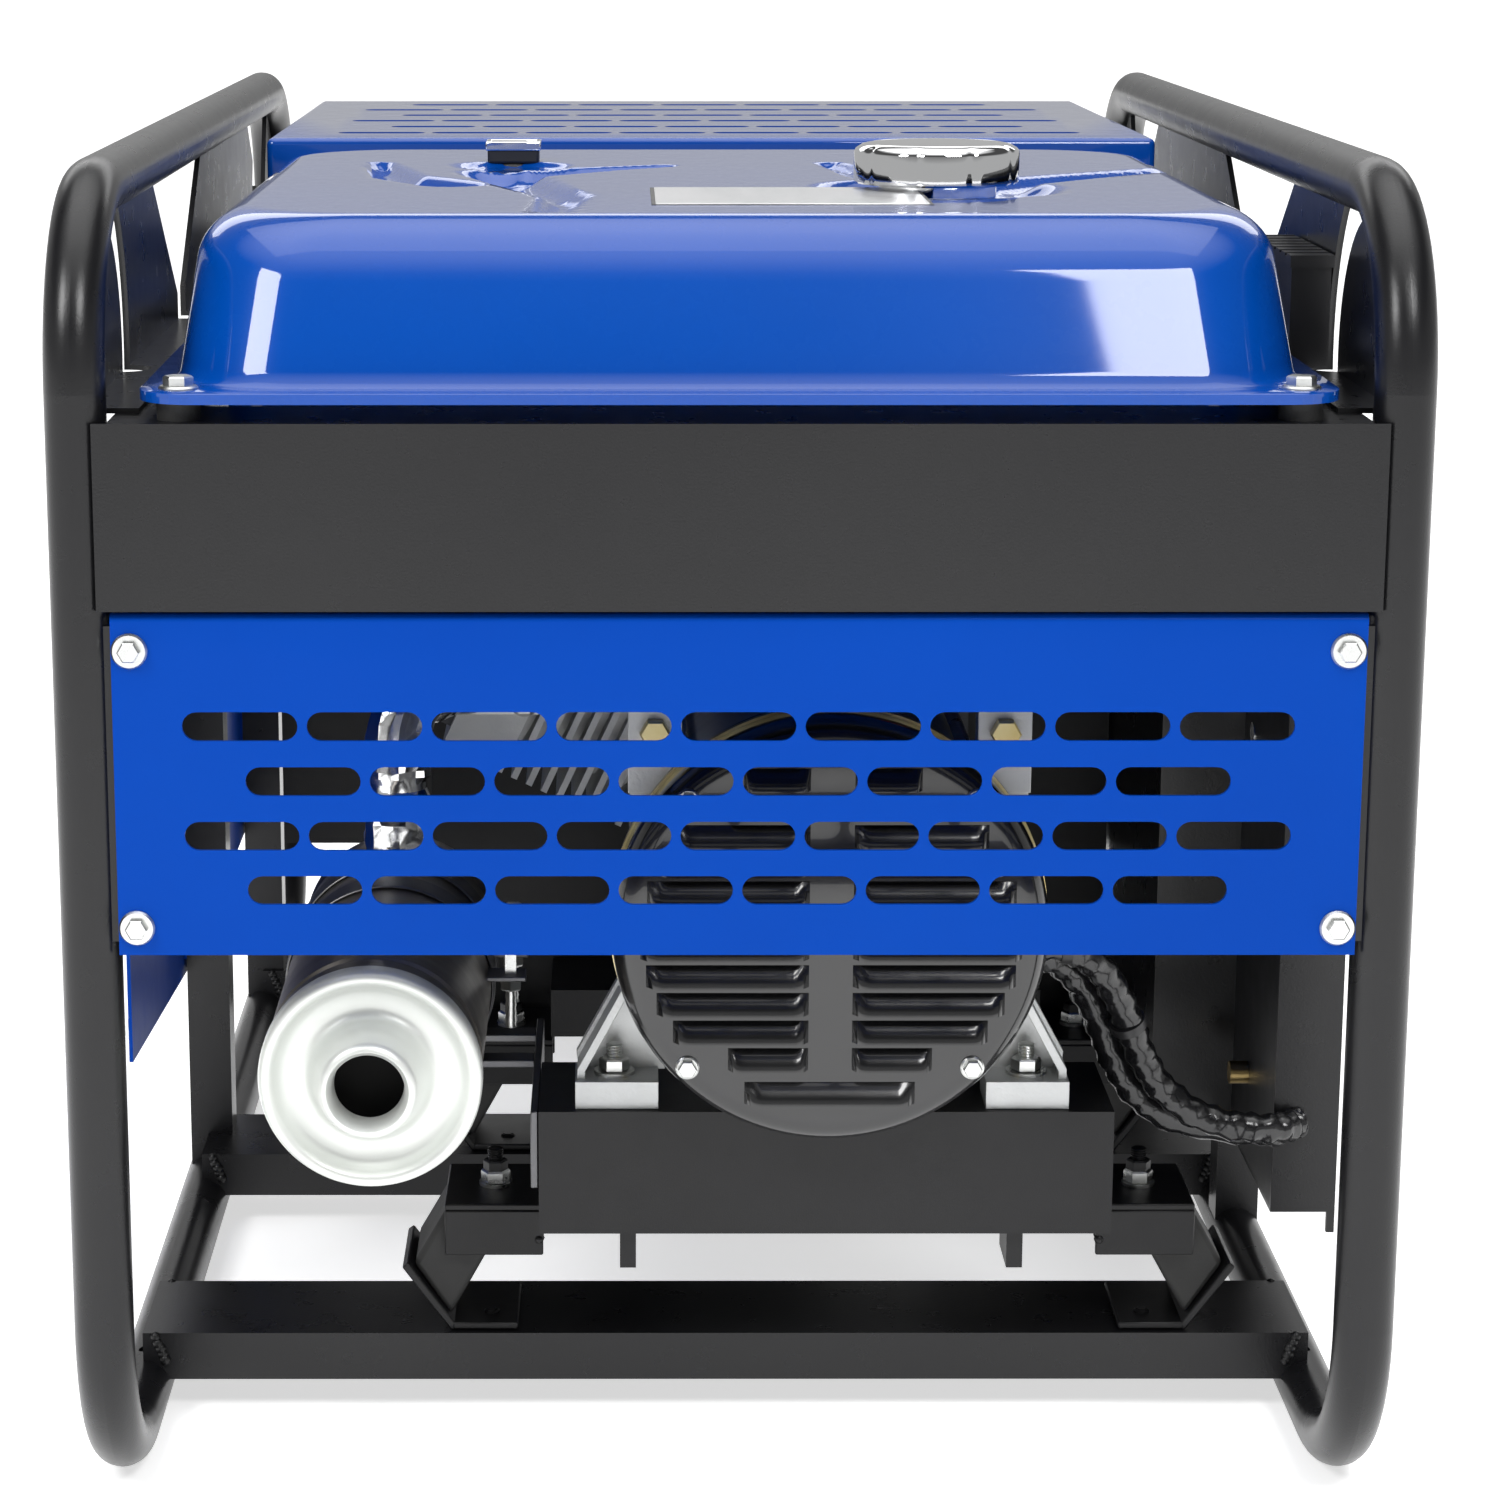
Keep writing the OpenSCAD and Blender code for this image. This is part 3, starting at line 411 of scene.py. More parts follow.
soft_light("top_light", (0.0, 0.4, 3.0), (0, 0, 0.3), (3.0, 3.0), 26)
soft_light("left_light", (-1.72, -1.8, 2.07), (-0.2, -0.5, 0.56), (0.85, 0.8), 34)
soft_light("right_light", (0.9, -2.2, 2.3), (0.2, -0.5, 0.56), (0.9, 0.75), 34)
soft_light("back_light", (0.0, 4.0, 2.6), (0, 0, 0.6), (6.0, 1.0), 40)
bpy.context.scene.view_settings.view_transform = "Standard"
print("studio ready")

# %% [markdown]
# ## Fuel tank
# The upper half of the tank is one deep pressing. It has a flat flange, walls
# that lean in a little at the sides and more at the front, and a round shoulder.
# Sweeping grooves run over the lid. We build it as rings that shrink
# from the flange to the middle, and lower each point where a groove passes.

# %% Tank outline and grooves
tank_lo, tank_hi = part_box("tank_upper_shell")
TANK_TOP = tank_hi[2]
GROOVES = [  # (points, half width, depth)
    ([(-0.118, -0.19), (-0.1, -0.27), (-0.08, -0.35), (-0.084, -0.44)], 0.024, 0.009),
    ([(-0.138, -0.27), (-0.168, -0.22), (-0.18, -0.15), (-0.183, -0.12)], 0.02, 0.009),
    ([(-0.105, -0.2), (-0.07, -0.168), (-0.03, -0.14)], 0.022, 0.008),
    ([(0.103, -0.3), (0.18, -0.22), (0.256, -0.15)], 0.024, 0.007),
    ([(0.103, -0.3), (0.075, -0.2), (0.059, -0.12)], 0.022, 0.006),
]
POCKETS = [((0.103, -0.3), 0.066, 0.007), ((-0.112, -0.14), 0.034, 0.003)]


def ease(t):
    t = min(max(t, 0.0), 1.0)
    return t * t * (3 - 2 * t)


def from_line(x, y, points):
    """Distance to a line of points, and how far along it the nearest place is (0 to 1)."""
    best, where = 9.0, 0.0
    for k, ((ax, ay), (bx, by)) in enumerate(zip(points, points[1:])):
        dx, dy = bx - ax, by - ay
        t = min(max(((x - ax) * dx + (y - ay) * dy) / (dx * dx + dy * dy), 0.0), 1.0)
        d = math.hypot(x - ax - t * dx, y - ay - t * dy)
        if d < best:
            best, where = d, (k + t) / (len(points) - 1)
    return best, where


def groove_depth(x, y):
    deepest = 0.0
    for points, half, depth in GROOVES:
        d, where = from_line(x, y, points)
        half *= 1.0 - 0.65 * where
        deepest = max(deepest, depth * (1 - 0.5 * where) * ease(1.35 * (1 - d / half)))
    for (px, py), radius, depth in POCKETS:
        deepest = max(deepest, depth * ease(5 * (1 - math.hypot(x - px, y - py) / radius)))
    return deepest


def corner_ring(x0, x1, y0, y1, radius, z, per_side=60, per_corner=20):
    """Points round a rectangle with round corners, the same number for any size."""
    pts = []
    corners = [(x1, y0, -90, (-1, 1)), (x1, y1, 0, (-1, -1)), (x0, y1, 90, (1, -1)), (x0, y0, 180, (1, 1))]
    arcs = []
    for cx, cy, start, (sx, sy) in corners:
        ox, oy = cx + sx * radius, cy + sy * radius
        arcs.append([(ox + radius * math.cos(math.radians(start + 90 * i / per_corner)),
                      oy + radius * math.sin(math.radians(start + 90 * i / per_corner)))
                     for i in range(per_corner + 1)])
    for k in range(4):
        pts += arcs[k]
        (ax, ay), (bx, by) = arcs[k][-1], arcs[(k + 1) % 4][0]
        pts += [(ax + (bx - ax) * i / per_side, ay + (by - ay) * i / per_side) for i in range(1, per_side)]
    return [(x, y, z) for x, y in pts]


# %% Tank upper shell
def shoulder(z_up, height, radius):
    """How far the wall has leaned in at a height, with a round shoulder at the top."""
    over = max(0.0, z_up - (height - radius))
    return radius - math.sqrt(max(radius * radius - over * over, 0.0))


def tank_rings():
    x0, y0, z0 = tank_lo
    x1, y1, z1 = tank_hi
    foot = z0 + 0.002
    height = z1 - foot
    rings = [corner_ring(x0, x1, y0, y1, 0.025, z0), corner_ring(x0, x1, y0, y1, 0.025, foot - 0.0004),
             corner_ring(x0 + 0.0006, x1 - 0.0006, y0 + 0.0006, y1 - 0.0006, 0.025, foot)]
    side, front, rear = 0.013, 0.014, 0.012
    rings.append(corner_ring(x0 + side - 0.003, x1 - side + 0.003, y0 + front - 0.003, y1 - rear + 0.003,
                             0.055, foot))
    rings.append(corner_ring(x0 + side - 0.001, x1 - side + 0.001, y0 + front - 0.001, y1 - rear + 0.001,
                             0.055, foot + 0.001))
    for k in range(25):
        z_up = 0.003 + (height - 0.003) * math.sin(math.pi / 2 * k / 24)
        lean, rake = 0.01 * z_up / height, 0.034 * z_up / height
        ins, inf, inr = (shoulder(z_up, height, r) for r in (0.02, 0.024, 0.026))
        rings.append(corner_ring(x0 + side + lean + ins, x1 - side - lean - ins, y0 + front + rake + inf,
                                 y1 - rear - lean - inr, 0.055, foot + z_up))
    last = rings[-1]
    cx = sum(p[0] for p in last) / len(last)
    cy = sum(p[1] for p in last) / len(last)
    for k in range(1, 80):
        s = 1 - k / 80
        rings.append([(cx + (x - cx) * s, cy + (y - cy) * s, z) for x, y, z in last])
    return rings, (cx, cy, last[0][2])


rings, middle = tank_rings()
n = len(rings[0])
verts = []
for k, one in enumerate(rings):
    for x, y, z in one:
        verts.append((x, y, z - groove_depth(x, y) * ease((z - tank_lo[2] - 0.012) / 0.03)))
verts.append((middle[0], middle[1], middle[2] - groove_depth(middle[0], middle[1])))
faces = [(k * n + i, k * n + (i + 1) % n, (k + 1) * n + (i + 1) % n, (k + 1) * n + i)
         for k in range(len(rings) - 1) for i in range(n)]
faces += [((len(rings) - 1) * n + i, (len(rings) - 1) * n + (i + 1) % n, len(verts) - 1) for i in range(n)]
faces.append(tuple(reversed(range(n))))
piece("tank_pressing", (verts, faces), tank_blue, stands_for=["tank_upper_shell"], angle=50)

# %% [markdown]
# The filler cap is polished and has shallow scallops round its rim for grip. The
# fuel gauge is a small black block with a bright frame round its window. A blank
# metal plate sits on the front of the tank.

# %% Filler cap
cap_lo, cap_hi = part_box("cap_shell")
cap_r = (cap_hi[0] - cap_lo[0]) / 2
cap_h = cap_hi[2] - cap_lo[2]
cap_at = ((cap_lo[0] + cap_hi[0]) / 2, (cap_lo[1] + cap_hi[1]) / 2, cap_lo[2])
cap_outline = [(0.0, cap_h * 0.45), (cap_r - 0.005, cap_h * 0.45), (cap_r - 0.005, 0.0), (cap_r - 0.001, 0.0),
               (cap_r, 0.001), (cap_r, cap_h - 0.005), (cap_r - 0.001, cap_h - 0.003),
               (cap_r - 0.004, cap_h - 0.0012), (cap_r - 0.008, cap_h - 0.0004), (cap_r * 0.6, cap_h),
               (0.0, cap_h)]


def scallop(angle, height):
    edge = 1.0 if height < cap_h - 0.002 else 0.0
    return 1 - 0.022 * edge * max(0.0, math.cos(9 * angle)) ** 6


piece("filler_cap", turned(lathe(cap_outline, 216, scallop), Matrix.Rotation(0.2, 4, "Z"), cap_at), chrome,
      body="cap_turn", stands_for=["cap_shell"], angle=40)

# %% Fuel gauge and blank plate
g_lo, g_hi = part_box("fuel_gauge")
g_x, g_y, g_top = (g_lo[0] + g_hi[0]) / 2, (g_lo[1] + g_hi[1]) / 2, g_hi[2]
piece("gauge_block", merged([
    block((g_lo[0] + 0.001, g_y - 0.011, g_top - 0.012), (g_hi[0] - 0.001, g_y + 0.011, g_top - 0.001)),
    turned(lathe([(0.0118, 0.0), (0.0118, 0.04)]), UNTURNED, (g_x, g_y, g_top - 0.052))]),
    plastic, stands_for=["fuel_gauge"], bevel=0.0015)
piece("gauge_frame", merged([
    block((g_lo[0], g_y - 0.012, g_top - 0.005), (g_hi[0], g_y - 0.0085, g_top)),
    block((g_lo[0], g_y + 0.0085, g_top - 0.005), (g_hi[0], g_y + 0.012, g_top)),
    block((g_lo[0], g_y - 0.0085, g_top - 0.005), (g_lo[0] + 0.003, g_y + 0.0085, g_top)),
    block((g_hi[0] - 0.003, g_y - 0.0085, g_top - 0.005), (g_hi[0], g_y + 0.0085, g_top))]), chrome,
      bevel=0.0008)
piece("gauge_window", block((g_lo[0] + 0.003, g_y - 0.0085, g_top - 0.003),
                            (g_hi[0] - 0.003, g_y + 0.0085, g_top - 0.0015)),
      clear_face, bevel=0.0003)
piece("tank_plate_border", block((-0.039, -0.404, TANK_TOP - 0.0006), (0.094, -0.298, TANK_TOP + 0.0003)),
      plastic, bevel=0.0003)
piece("tank_plate", block((-0.037, -0.402, TANK_TOP - 0.0005), (0.092, -0.3, TANK_TOP + 0.0006)), plate_metal,
      bevel=0.0003)

# %% [markdown]
# ## Slotted sheets
# The guard panel and the welder cover are folded sheet with rows of punched
# slots. A boolean cuts all the slots at once, and a bevel rounds the folds.

# %% Slotted sheet tool
def stadium(length, width, depth, steps=10):
    half = (length - width) / 2
    pts = [(half + width / 2 * math.sin(math.pi * i / steps), -width / 2 * math.cos(math.pi * i / steps))
           for i in range(steps + 1)]
    pts += [(-half - width / 2 * math.sin(math.pi * i / steps), width / 2 * math.cos(math.pi * i / steps))
            for i in range(steps + 1)]
    return prism(pts, depth)


def cut(shape, tools, name, finish_used, fold, **more):
    """A bevelled shape with the tools cut out of it, as one piece."""
    base = bpy.data.meshes.new(name + "_base")
    base.from_pydata(shape[0], [], shape[1])
    body = bpy.data.objects.new(name + "_base", base)
    tool_mesh = bpy.data.meshes.new(name + "_tool")
    tool_mesh.from_pydata(tools[0], [], tools[1])
    tool = bpy.data.objects.new(name + "_tool", tool_mesh)
    for o in (body, tool):
        bpy.context.scene.collection.objects.link(o)
    if fold:
        round_off = body.modifiers.new("fold", "BEVEL")
        round_off.width = fold
        round_off.segments = 4
        round_off.limit_method = "ANGLE"
    sub = body.modifiers.new("cut", "BOOLEAN")
    sub.operation = "DIFFERENCE"
    sub.solver = "EXACT"
    sub.object = tool
    done = bpy.data.meshes.new_from_object(body.evaluated_get(bpy.context.evaluated_depsgraph_get()))
    for o in (body, tool):
        bpy.data.objects.remove(o)
    out = ([tuple(v.co) for v in done.vertices], [tuple(p.vertices) for p in done.polygons])
    return piece(name, out, finish_used, **more)


SLOT_L, SLOT_W, SLOT_PITCH = 0.0525, 0.0135, 0.0566

# %% Guard panel
p_lo, p_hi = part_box("front_panel")
upright_slot = Matrix.Rotation(math.pi / 2, 4, "X")
tools = []
for row in range(4):
    count = 9 if row % 2 == 0 else 8
    for i in range(count):
        at = ((i - (count - 1) / 2) * SLOT_PITCH, p_lo[1] + 0.012, p_hi[2] - 0.052 - 0.0256 * row)
        tools.append(turned(stadium(SLOT_L, SLOT_W, 0.024), upright_slot, at))
half_w = p_hi[0]
BOLT_FROM_END, BOLT_HOLE_R = 0.0085, 0.0032
panel_bolt_at = [(sx * (half_w - BOLT_FROM_END), z)
                 for sx in (-1, 1) for z in (p_lo[2] + 0.013, p_hi[2] - 0.017)]
for x, z in panel_bolt_at:
    hole = lathe([(BOLT_HOLE_R, 0), (BOLT_HOLE_R, 0.02)], 20)
    tools.append(turned(hole, upright_slot, (x, p_lo[1] + 0.012, z)))
FOLD = 0.004
bend = [(p_lo[1] + FOLD - FOLD * math.cos(math.pi / 2 * i / 8),
         p_hi[2] - FOLD + FOLD * math.sin(math.pi / 2 * i / 8))
        for i in range(9)]
section = [(p_lo[1], p_lo[2]), *bend, (p_hi[1], p_hi[2]), (p_hi[1], p_hi[2] - 0.002),
           (p_lo[1] + FOLD, p_hi[2] - 0.002),
           (p_lo[1] + 0.002, p_hi[2] - FOLD), (p_lo[1] + 0.002, p_lo[2])]
along_x = Matrix(((0, 0, 1, 0), (1, 0, 0, 0), (0, 1, 0, 0), (0, 0, 0, 1)))
folded = turned(prism(section[::-1], p_hi[0] - p_lo[0]), along_x, (p_lo[0], 0, 0))
cut(folded, merged(tools), "guard_panel", panel_blue, 0.0, stands_for=["front_panel"], angle=30)

# %% Welder cover
w_lo, w_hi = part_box("welder_cover")
tools = [block((w_lo[0] + 0.002, w_lo[1] + 0.002, w_lo[2] - 0.01),
               (w_hi[0] - 0.002, w_hi[1] - 0.002, w_hi[2] - 0.002))]
for row in range(6):
    count = 8 if row % 2 == 0 else 7
    for i in range(count):
        at = ((i - (count - 1) / 2) * SLOT_PITCH, w_lo[1] + 0.054 + 0.062 * row, w_hi[2] - 0.01)
        tools.append(turned(stadium(SLOT_L, SLOT_W, 0.03), UNTURNED, at))
cut(block(w_lo, w_hi), merged(tools), "welder_lid", tank_blue, 0.004, stands_for=["welder_cover"], angle=30)

# %% [markdown]
# ## Alternator end cover
# A shallow pressed dish with two columns of louvres, one on each side of a plain
# rib. Each louvre is a slit whose upper edge is pushed out into a hood, which
# sheds rain and lets the cooling air out.

# %% Dish
c_lo, c_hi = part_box("alternator_cover")
cover_r = (c_hi[0] - c_lo[0]) / 2
cover_x, cover_z = (c_lo[0] + c_hi[0]) / 2, (c_lo[2] + c_hi[2]) / 2
cover_depth = c_hi[1] - c_lo[1]
TO_FRONT = Matrix.Rotation(math.pi / 2, 4, "X")
dish = [(0.0, 0.0), (0.03, 0.0)] + [(cover_r - 0.012 + 0.012 * math.sin(math.pi / 2 * i / 10),
                                      -0.012 + 0.012 * math.cos(math.pi / 2 * i / 10)) for i in range(11)]
dish += [(cover_r, -cover_depth + 0.002), (cover_r - 0.001, -cover_depth), (cover_r - 0.003, -cover_depth),
         (cover_r - 0.003, -0.01), (0.0, -0.01)]
piece("end_dish", turned(lathe(dish, 120), TO_FRONT, (cover_x, c_lo[1], cover_z)), cover_black,
      stands_for=["alternator_cover"], angle=40)
rim_band = [(cover_r - 0.001, -0.002), (cover_r + 0.0012, -0.002), (cover_r + 0.0012, 0.002),
            (cover_r - 0.001, 0.002)]
piece("dish_rim", turned(ring(rim_band, 120), TO_FRONT, (cover_x, c_hi[1] - 0.002, cover_z)),
      yellow_zinc)


# %% Louvres
def louvre(x0, x1, z, drop=0.0105, out=0.0056, across=20, down=8):
    """A hood: flat at the top, standing out at its open lower edge, closed at both ends."""
    verts, faces = [], []
    for layer in (0.0, 0.0009):
        for j in range(down + 1):
            v = j / down
            for i in range(across + 1):
                u = i / across
                ends = min(1.0, min(u, 1 - u) * (x1 - x0) / 0.006)
                bulge = out * math.sin(math.pi / 2 * v) * math.sqrt(max(0.0, 1 - (1 - ends) ** 2))
                verts.append((x0 + (x1 - x0) * u, c_lo[1] - bulge - layer + 0.0004, z - drop * v))
    row, sheet_n = across + 1, (across + 1) * (down + 1)
    for j in range(down):
        for i in range(across):
            a = j * row + i
            faces.append((a, a + row, a + row + 1, a + 1))
            b = sheet_n + a
            faces.append((b, b + 1, b + row + 1, b + row))
    edge = [i for i in range(row)] + [row * (j + 1) + across for j in range(down)]
    edge += [row * down + i for i in reversed(range(across))] + [row * j for j in reversed(range(1, down))]
    faces += [(edge[k], edge[(k + 1) % len(edge)], sheet_n + edge[(k + 1) % len(edge)], sheet_n + edge[k])
              for k in range(len(edge))]
    return verts, faces


RIB, LOUVRE_STEP, INSET = 0.0105, 0.0138, 0.0132
hoods, slit_shade_blocks = [], []
for row in range(11):
    z = cover_z - 0.0615 + row * LOUVRE_STEP + 0.005
    reach = math.sqrt(max((cover_r - INSET) ** 2 - max(abs(z - cover_z), abs(z - 0.0095 - cover_z)) ** 2,
                          0.0))
    if reach < RIB + 0.014:
        continue
    if abs(abs(z - 0.005 - cover_z) - 0.066) < 0.011:
        reach = min(reach, 0.049)
    for side in (-1, 1):
        a, b = sorted((cover_x + side * RIB, cover_x + side * reach))
        hoods.append(louvre(a, b, z))
        # A thin black block under each hood is painted shade: it stands for the dark opening of the slit.
        slit_shade_blocks.append(block((a + 0.003, c_lo[1] - 0.0004, z - 0.0115),
                           (b - 0.003, c_lo[1] + 0.0002, z - 0.006)))
low = cover_z - 0.0735
hoods.append(louvre(cover_x - 0.041, cover_x + 0.041, low))
slit_shade_blocks.append(block((cover_x - 0.037, c_lo[1] - 0.0004, low - 0.0115),
                   (cover_x + 0.037, c_lo[1] + 0.0002, low - 0.006)))
# A near-black matte finish used as painted shade in the louvre slits and in the muffler outlet.
painted_shade_black = finish("painted_gap_shade", (0.001, 0.001, 0.001), (0.002, 0.002, 0.002), rough=(0.8, 0.9), bump=0.0)
piece("dish_louvres", merged(hoods), cover_black, angle=50)
piece("dish_slit_shade", merged(slit_shade_blocks), painted_shade_black)


# %% [markdown]
# ## Bolts
# One helper makes a flanged hexagon bolt that points any way. The head has a
# rounded flange and a chamfer on top, like a pressed bolt head.

# %% Bolt helper
def flange_bolt(at, direction, across_flats, head, flange_d, flange_h=0.0016):
    r = flange_d / 2
    flange = lathe([(0.0, 0.0), (r, 0.0), (r, flange_h * 0.5), (r - 0.0008, flange_h), (0.0, flange_h)], 40)
    hexed = turned(hexagon(across_flats, head), UNTURNED, (0, 0, flange_h * 0.6))
    return turned(merged([flange, hexed]), facing(direction), at)


def stud_nut(at, direction, across_flats, nuts=1, washer_d=0.0, stud_d=0.008, stud_out=0.005):
    parts, h = [], 0.0
    if washer_d:
        parts.append(lathe([(0.0, 0.0), (washer_d / 2, 0.0), (washer_d / 2, 0.0016), (0.0, 0.0016)], 40))
        h = 0.0016
    for _ in range(nuts):
        parts.append(turned(hexagon(across_flats, 0.0065), UNTURNED, (0, 0, h)))
        h += 0.0066
    thread = [(stud_d / 2 - 0.0004 * (k % 2), h - 0.0005 + stud_out * k / 10) for k in range(11)]
    parts.append(lathe([(0.0, 0.0)] + thread + [(stud_d / 2 - 0.001, h + stud_out), (0.0, h + stud_out)], 32))
    return turned(merged(parts), facing(direction), at)


FRONT, UP, RIGHT, LEFT = (0, -1, 0), (0, 0, 1), (1, 0, 0), (-1, 0, 0)


def on_drum(shape, y):
    return turned(shape, TO_FRONT, (m_x, y, m_z))


def on_bell(shape, y):
    return turned(shape, TO_FRONT, (cover_x, y, cover_z))


# %% Panel, cover and tank bolts
bolts = [flange_bolt((x, p_lo[1], z), FRONT, 0.009, 0.004, 0.0165, 0.0022) for x, z in panel_bolt_at]
nuts_behind = [stud_nut((x, p_lo[1] + 0.0045, z), (0, 1, 0), 0.01, stud_d=0.006) for x, z in panel_bolt_at]
piece("guard_panel_bolts", merged(bolts + nuts_behind), zinc, stands_for=["front_panel_bolts"], angle=25)
cover_bolts = [flange_bolt((cover_x + sx * 0.0685, c_lo[1], cover_z + sz * 0.066), FRONT,
                           0.008, 0.004, 0.0115, 0.0015) for sx in (-1, 1) for sz in (-1, 1)]
piece("cover_bolt_heads", merged(cover_bolts), zinc, stands_for=["cover_bolts"], angle=25)
b_lo, b_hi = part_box("tank_bolts")
bolt_at = [(x, y) for x in (b_lo[0] + 0.009, b_hi[0] - 0.009) for y in (b_lo[1] + 0.009, b_hi[1] - 0.009)]
piece("tank_bolt_heads", merged([flange_bolt((x, y, tank_lo[2] + 0.002), UP, 0.012, 0.005, 0.018)
                                 for x, y in bolt_at]), zinc, stands_for=["tank_bolts"], angle=25)

# %% [markdown]
# ## Muffler
# A rolled drum with a dished end. The end has a rolled rim, a flat ring, then a
# cone that swells forward to the outlet. Two straps hold the drum, each with a
# bolt through its ears.

# %% Muffler drum and end
m_lo, m_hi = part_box("muffler_body")
m_r = (m_hi[0] - m_lo[0]) / 2
m_x, m_z, m_front, m_back = (m_lo[0] + m_hi[0]) / 2, (m_lo[2] + m_hi[2]) / 2, m_lo[1], m_hi[1]
drum_l = m_back - m_front
drum = [(m_r - 0.002, 0.0), (m_r, -0.001), (m_r, -0.018), (m_r - 0.0014, -0.02), (m_r - 0.0014, -0.024),
        (m_r, -0.026), (m_r, -drum_l + 0.03), (m_r - 0.0014, -drum_l + 0.027),
        (m_r - 0.0014, -drum_l + 0.023),
        (m_r, -drum_l + 0.02), (m_r, -drum_l + 0.004), (m_r - 0.004, -drum_l), (m_r - 0.012, -drum_l + 0.002),
        (m_r - 0.014, -0.006), (m_r - 0.006, -0.004)]
piece("muffler_drum", on_drum(ring(drum, 96), m_front), muffler_steel,
      stands_for=["muffler_body"], angle=30)
end = [(0.0165, 0.012), (0.0175, 0.0235), (0.0195, 0.0262), (0.022, 0.0258), (0.0235, 0.022),
       (0.0262, 0.0105),
       (0.0285, 0.0035), (0.031, 0.0008), (0.034, 0.0), (m_r - 0.011, 0.0006), (m_r - 0.0075, 0.0022),
       (m_r - 0.006, 0.0055), (m_r - 0.0045, 0.0078), (m_r - 0.002, 0.0085), (m_r + 0.0004, 0.0074),
       (m_r + 0.0012, 0.005), (m_r + 0.0012, -0.004), (m_r - 0.002, -0.006), (m_r - 0.008, -0.002),
       (0.03, -0.002), (0.0215, 0.006)]
piece("muffler_end", on_drum(ring(end, 112), m_front), end_skin,
      stands_for=["muffler_end_cap"], angle=60)
# A black disc inside the outlet is painted shade for the hollow of the pipe.
outlet_shade_disc = lathe([(0.0, -0.012), (0.024, -0.012), (0.024, -0.0105), (0.0, -0.0105)], 48)
piece("muffler_outlet_shade", on_drum(outlet_shade_disc, m_front), painted_shade_black)

# %% Straps
straps = []
for y in (m_front + 0.15, m_front + 0.195):
    straps.append(on_drum(ring([(m_r + 0.0002, -0.022), (m_r + 0.0016, -0.022), (m_r + 0.0022, -0.011),
                                (m_r + 0.0016, 0.0), (m_r + 0.0002, 0.0)], 96), y))
    for low, high in ((0.0265, 0.029), (0.0085, 0.011)):
        straps.append(block((m_x + m_r - 0.006, y - 0.02, m_z + low),
                            (m_x + m_r + 0.0185, y - 0.002, m_z + high)))
    straps.append(block((m_x + 0.034, y + 0.004, 0.1695), (-0.098, y + 0.018, 0.1735)))
straps.append(block((-0.098, m_front + 0.06, 0.137), (-0.0943, m_front + 0.22, 0.1765)))
piece("muffler_straps", merged(straps), dark_steel, stands_for=["muffler_clamps"], bevel=0.0006)
strap_bolts = []
for y in (m_front + 0.139, m_front + 0.184):
    at = m_x + m_r + 0.0105
    strap_bolts.append(flange_bolt((at, y, m_z + 0.029), UP, 0.01, 0.005, 0.013))
    strap_bolts.append(stud_nut((at, y, m_z + 0.0085), (0, 0, -1), 0.01, stud_d=0.006, stud_out=0.02))
    strap_bolts.append(block((at - 0.0028, y - 0.0028, m_z + 0.01), (at + 0.0028, y + 0.0028, m_z + 0.028)))
piece("strap_bolts", merged(strap_bolts), zinc, angle=25)

# %% [markdown]
# ## Foil-wrapped exhaust pipe
# The hot pipe from the cylinder head is wrapped in thin foil. Its creases come
# from geometry: the radius jumps at random from point to point, in flat facets.

# %% Exhaust pipe
random.seed(7)
e_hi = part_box("exhaust_pipe")[1]
pipe_y = m_back - 0.03
pipe_r = 0.0165
top_z = 0.348
heading = math.radians(46)
route = [(m_x, pipe_y, m_z + m_r - 0.004), (m_x, pipe_y, top_z - 0.024)]
for i in range(1, 7):
    a = math.pi / 2 * i / 6
    step = 0.024 * (1 - math.cos(a))
    route.append((m_x + step * math.cos(heading), pipe_y + step * math.sin(heading),
                  top_z - 0.024 + 0.024 * math.sin(a)))
far = 0.075
route.append((m_x + far * math.cos(heading), pipe_y + far * math.sin(heading), top_z))
fine_route = []
for a, b in zip(route, route[1:]):
    steps = max(1, int((Vector(b) - Vector(a)).length / 0.0035))
    fine_route += [tuple(Vector(a).lerp(Vector(b), i / steps)) for i in range(steps)]
fine_route.append(route[-1])
creases = {}


def crumple(step, angle):
    key = (step // 2, int(angle * 9 / (2 * math.pi)) + (step // 4) % 2)
    if key not in creases:
        creases[key] = pipe_r + random.uniform(-0.0012, 0.0022)
    return creases[key] + random.uniform(-0.0004, 0.0004)


piece("foil_pipe", sweep(fine_route, crumple, 30), foil, stands_for=["exhaust_pipe"], angle=18)
piece("exhaust_flange", merged([block((-0.142, e_hi[1] - 0.0095, 0.324), (e_hi[0], e_hi[1], 0.371)),
                                flange_bolt((-0.106, e_hi[1] - 0.0095, 0.331), FRONT, 0.012, 0.006, 0.016),
                                flange_bolt((-0.136, e_hi[1] - 0.0095, 0.364), FRONT, 0.012, 0.006, 0.016)]),
      bare_steel, bevel=0.001)

# %% [markdown]
# ## End bell and its feet
# The alternator's front casting carries the bearing and stands on two feet. Each
# foot is a thick pad with a slanted web up to the bell. Two lugs at the top take
# yellow bolts.

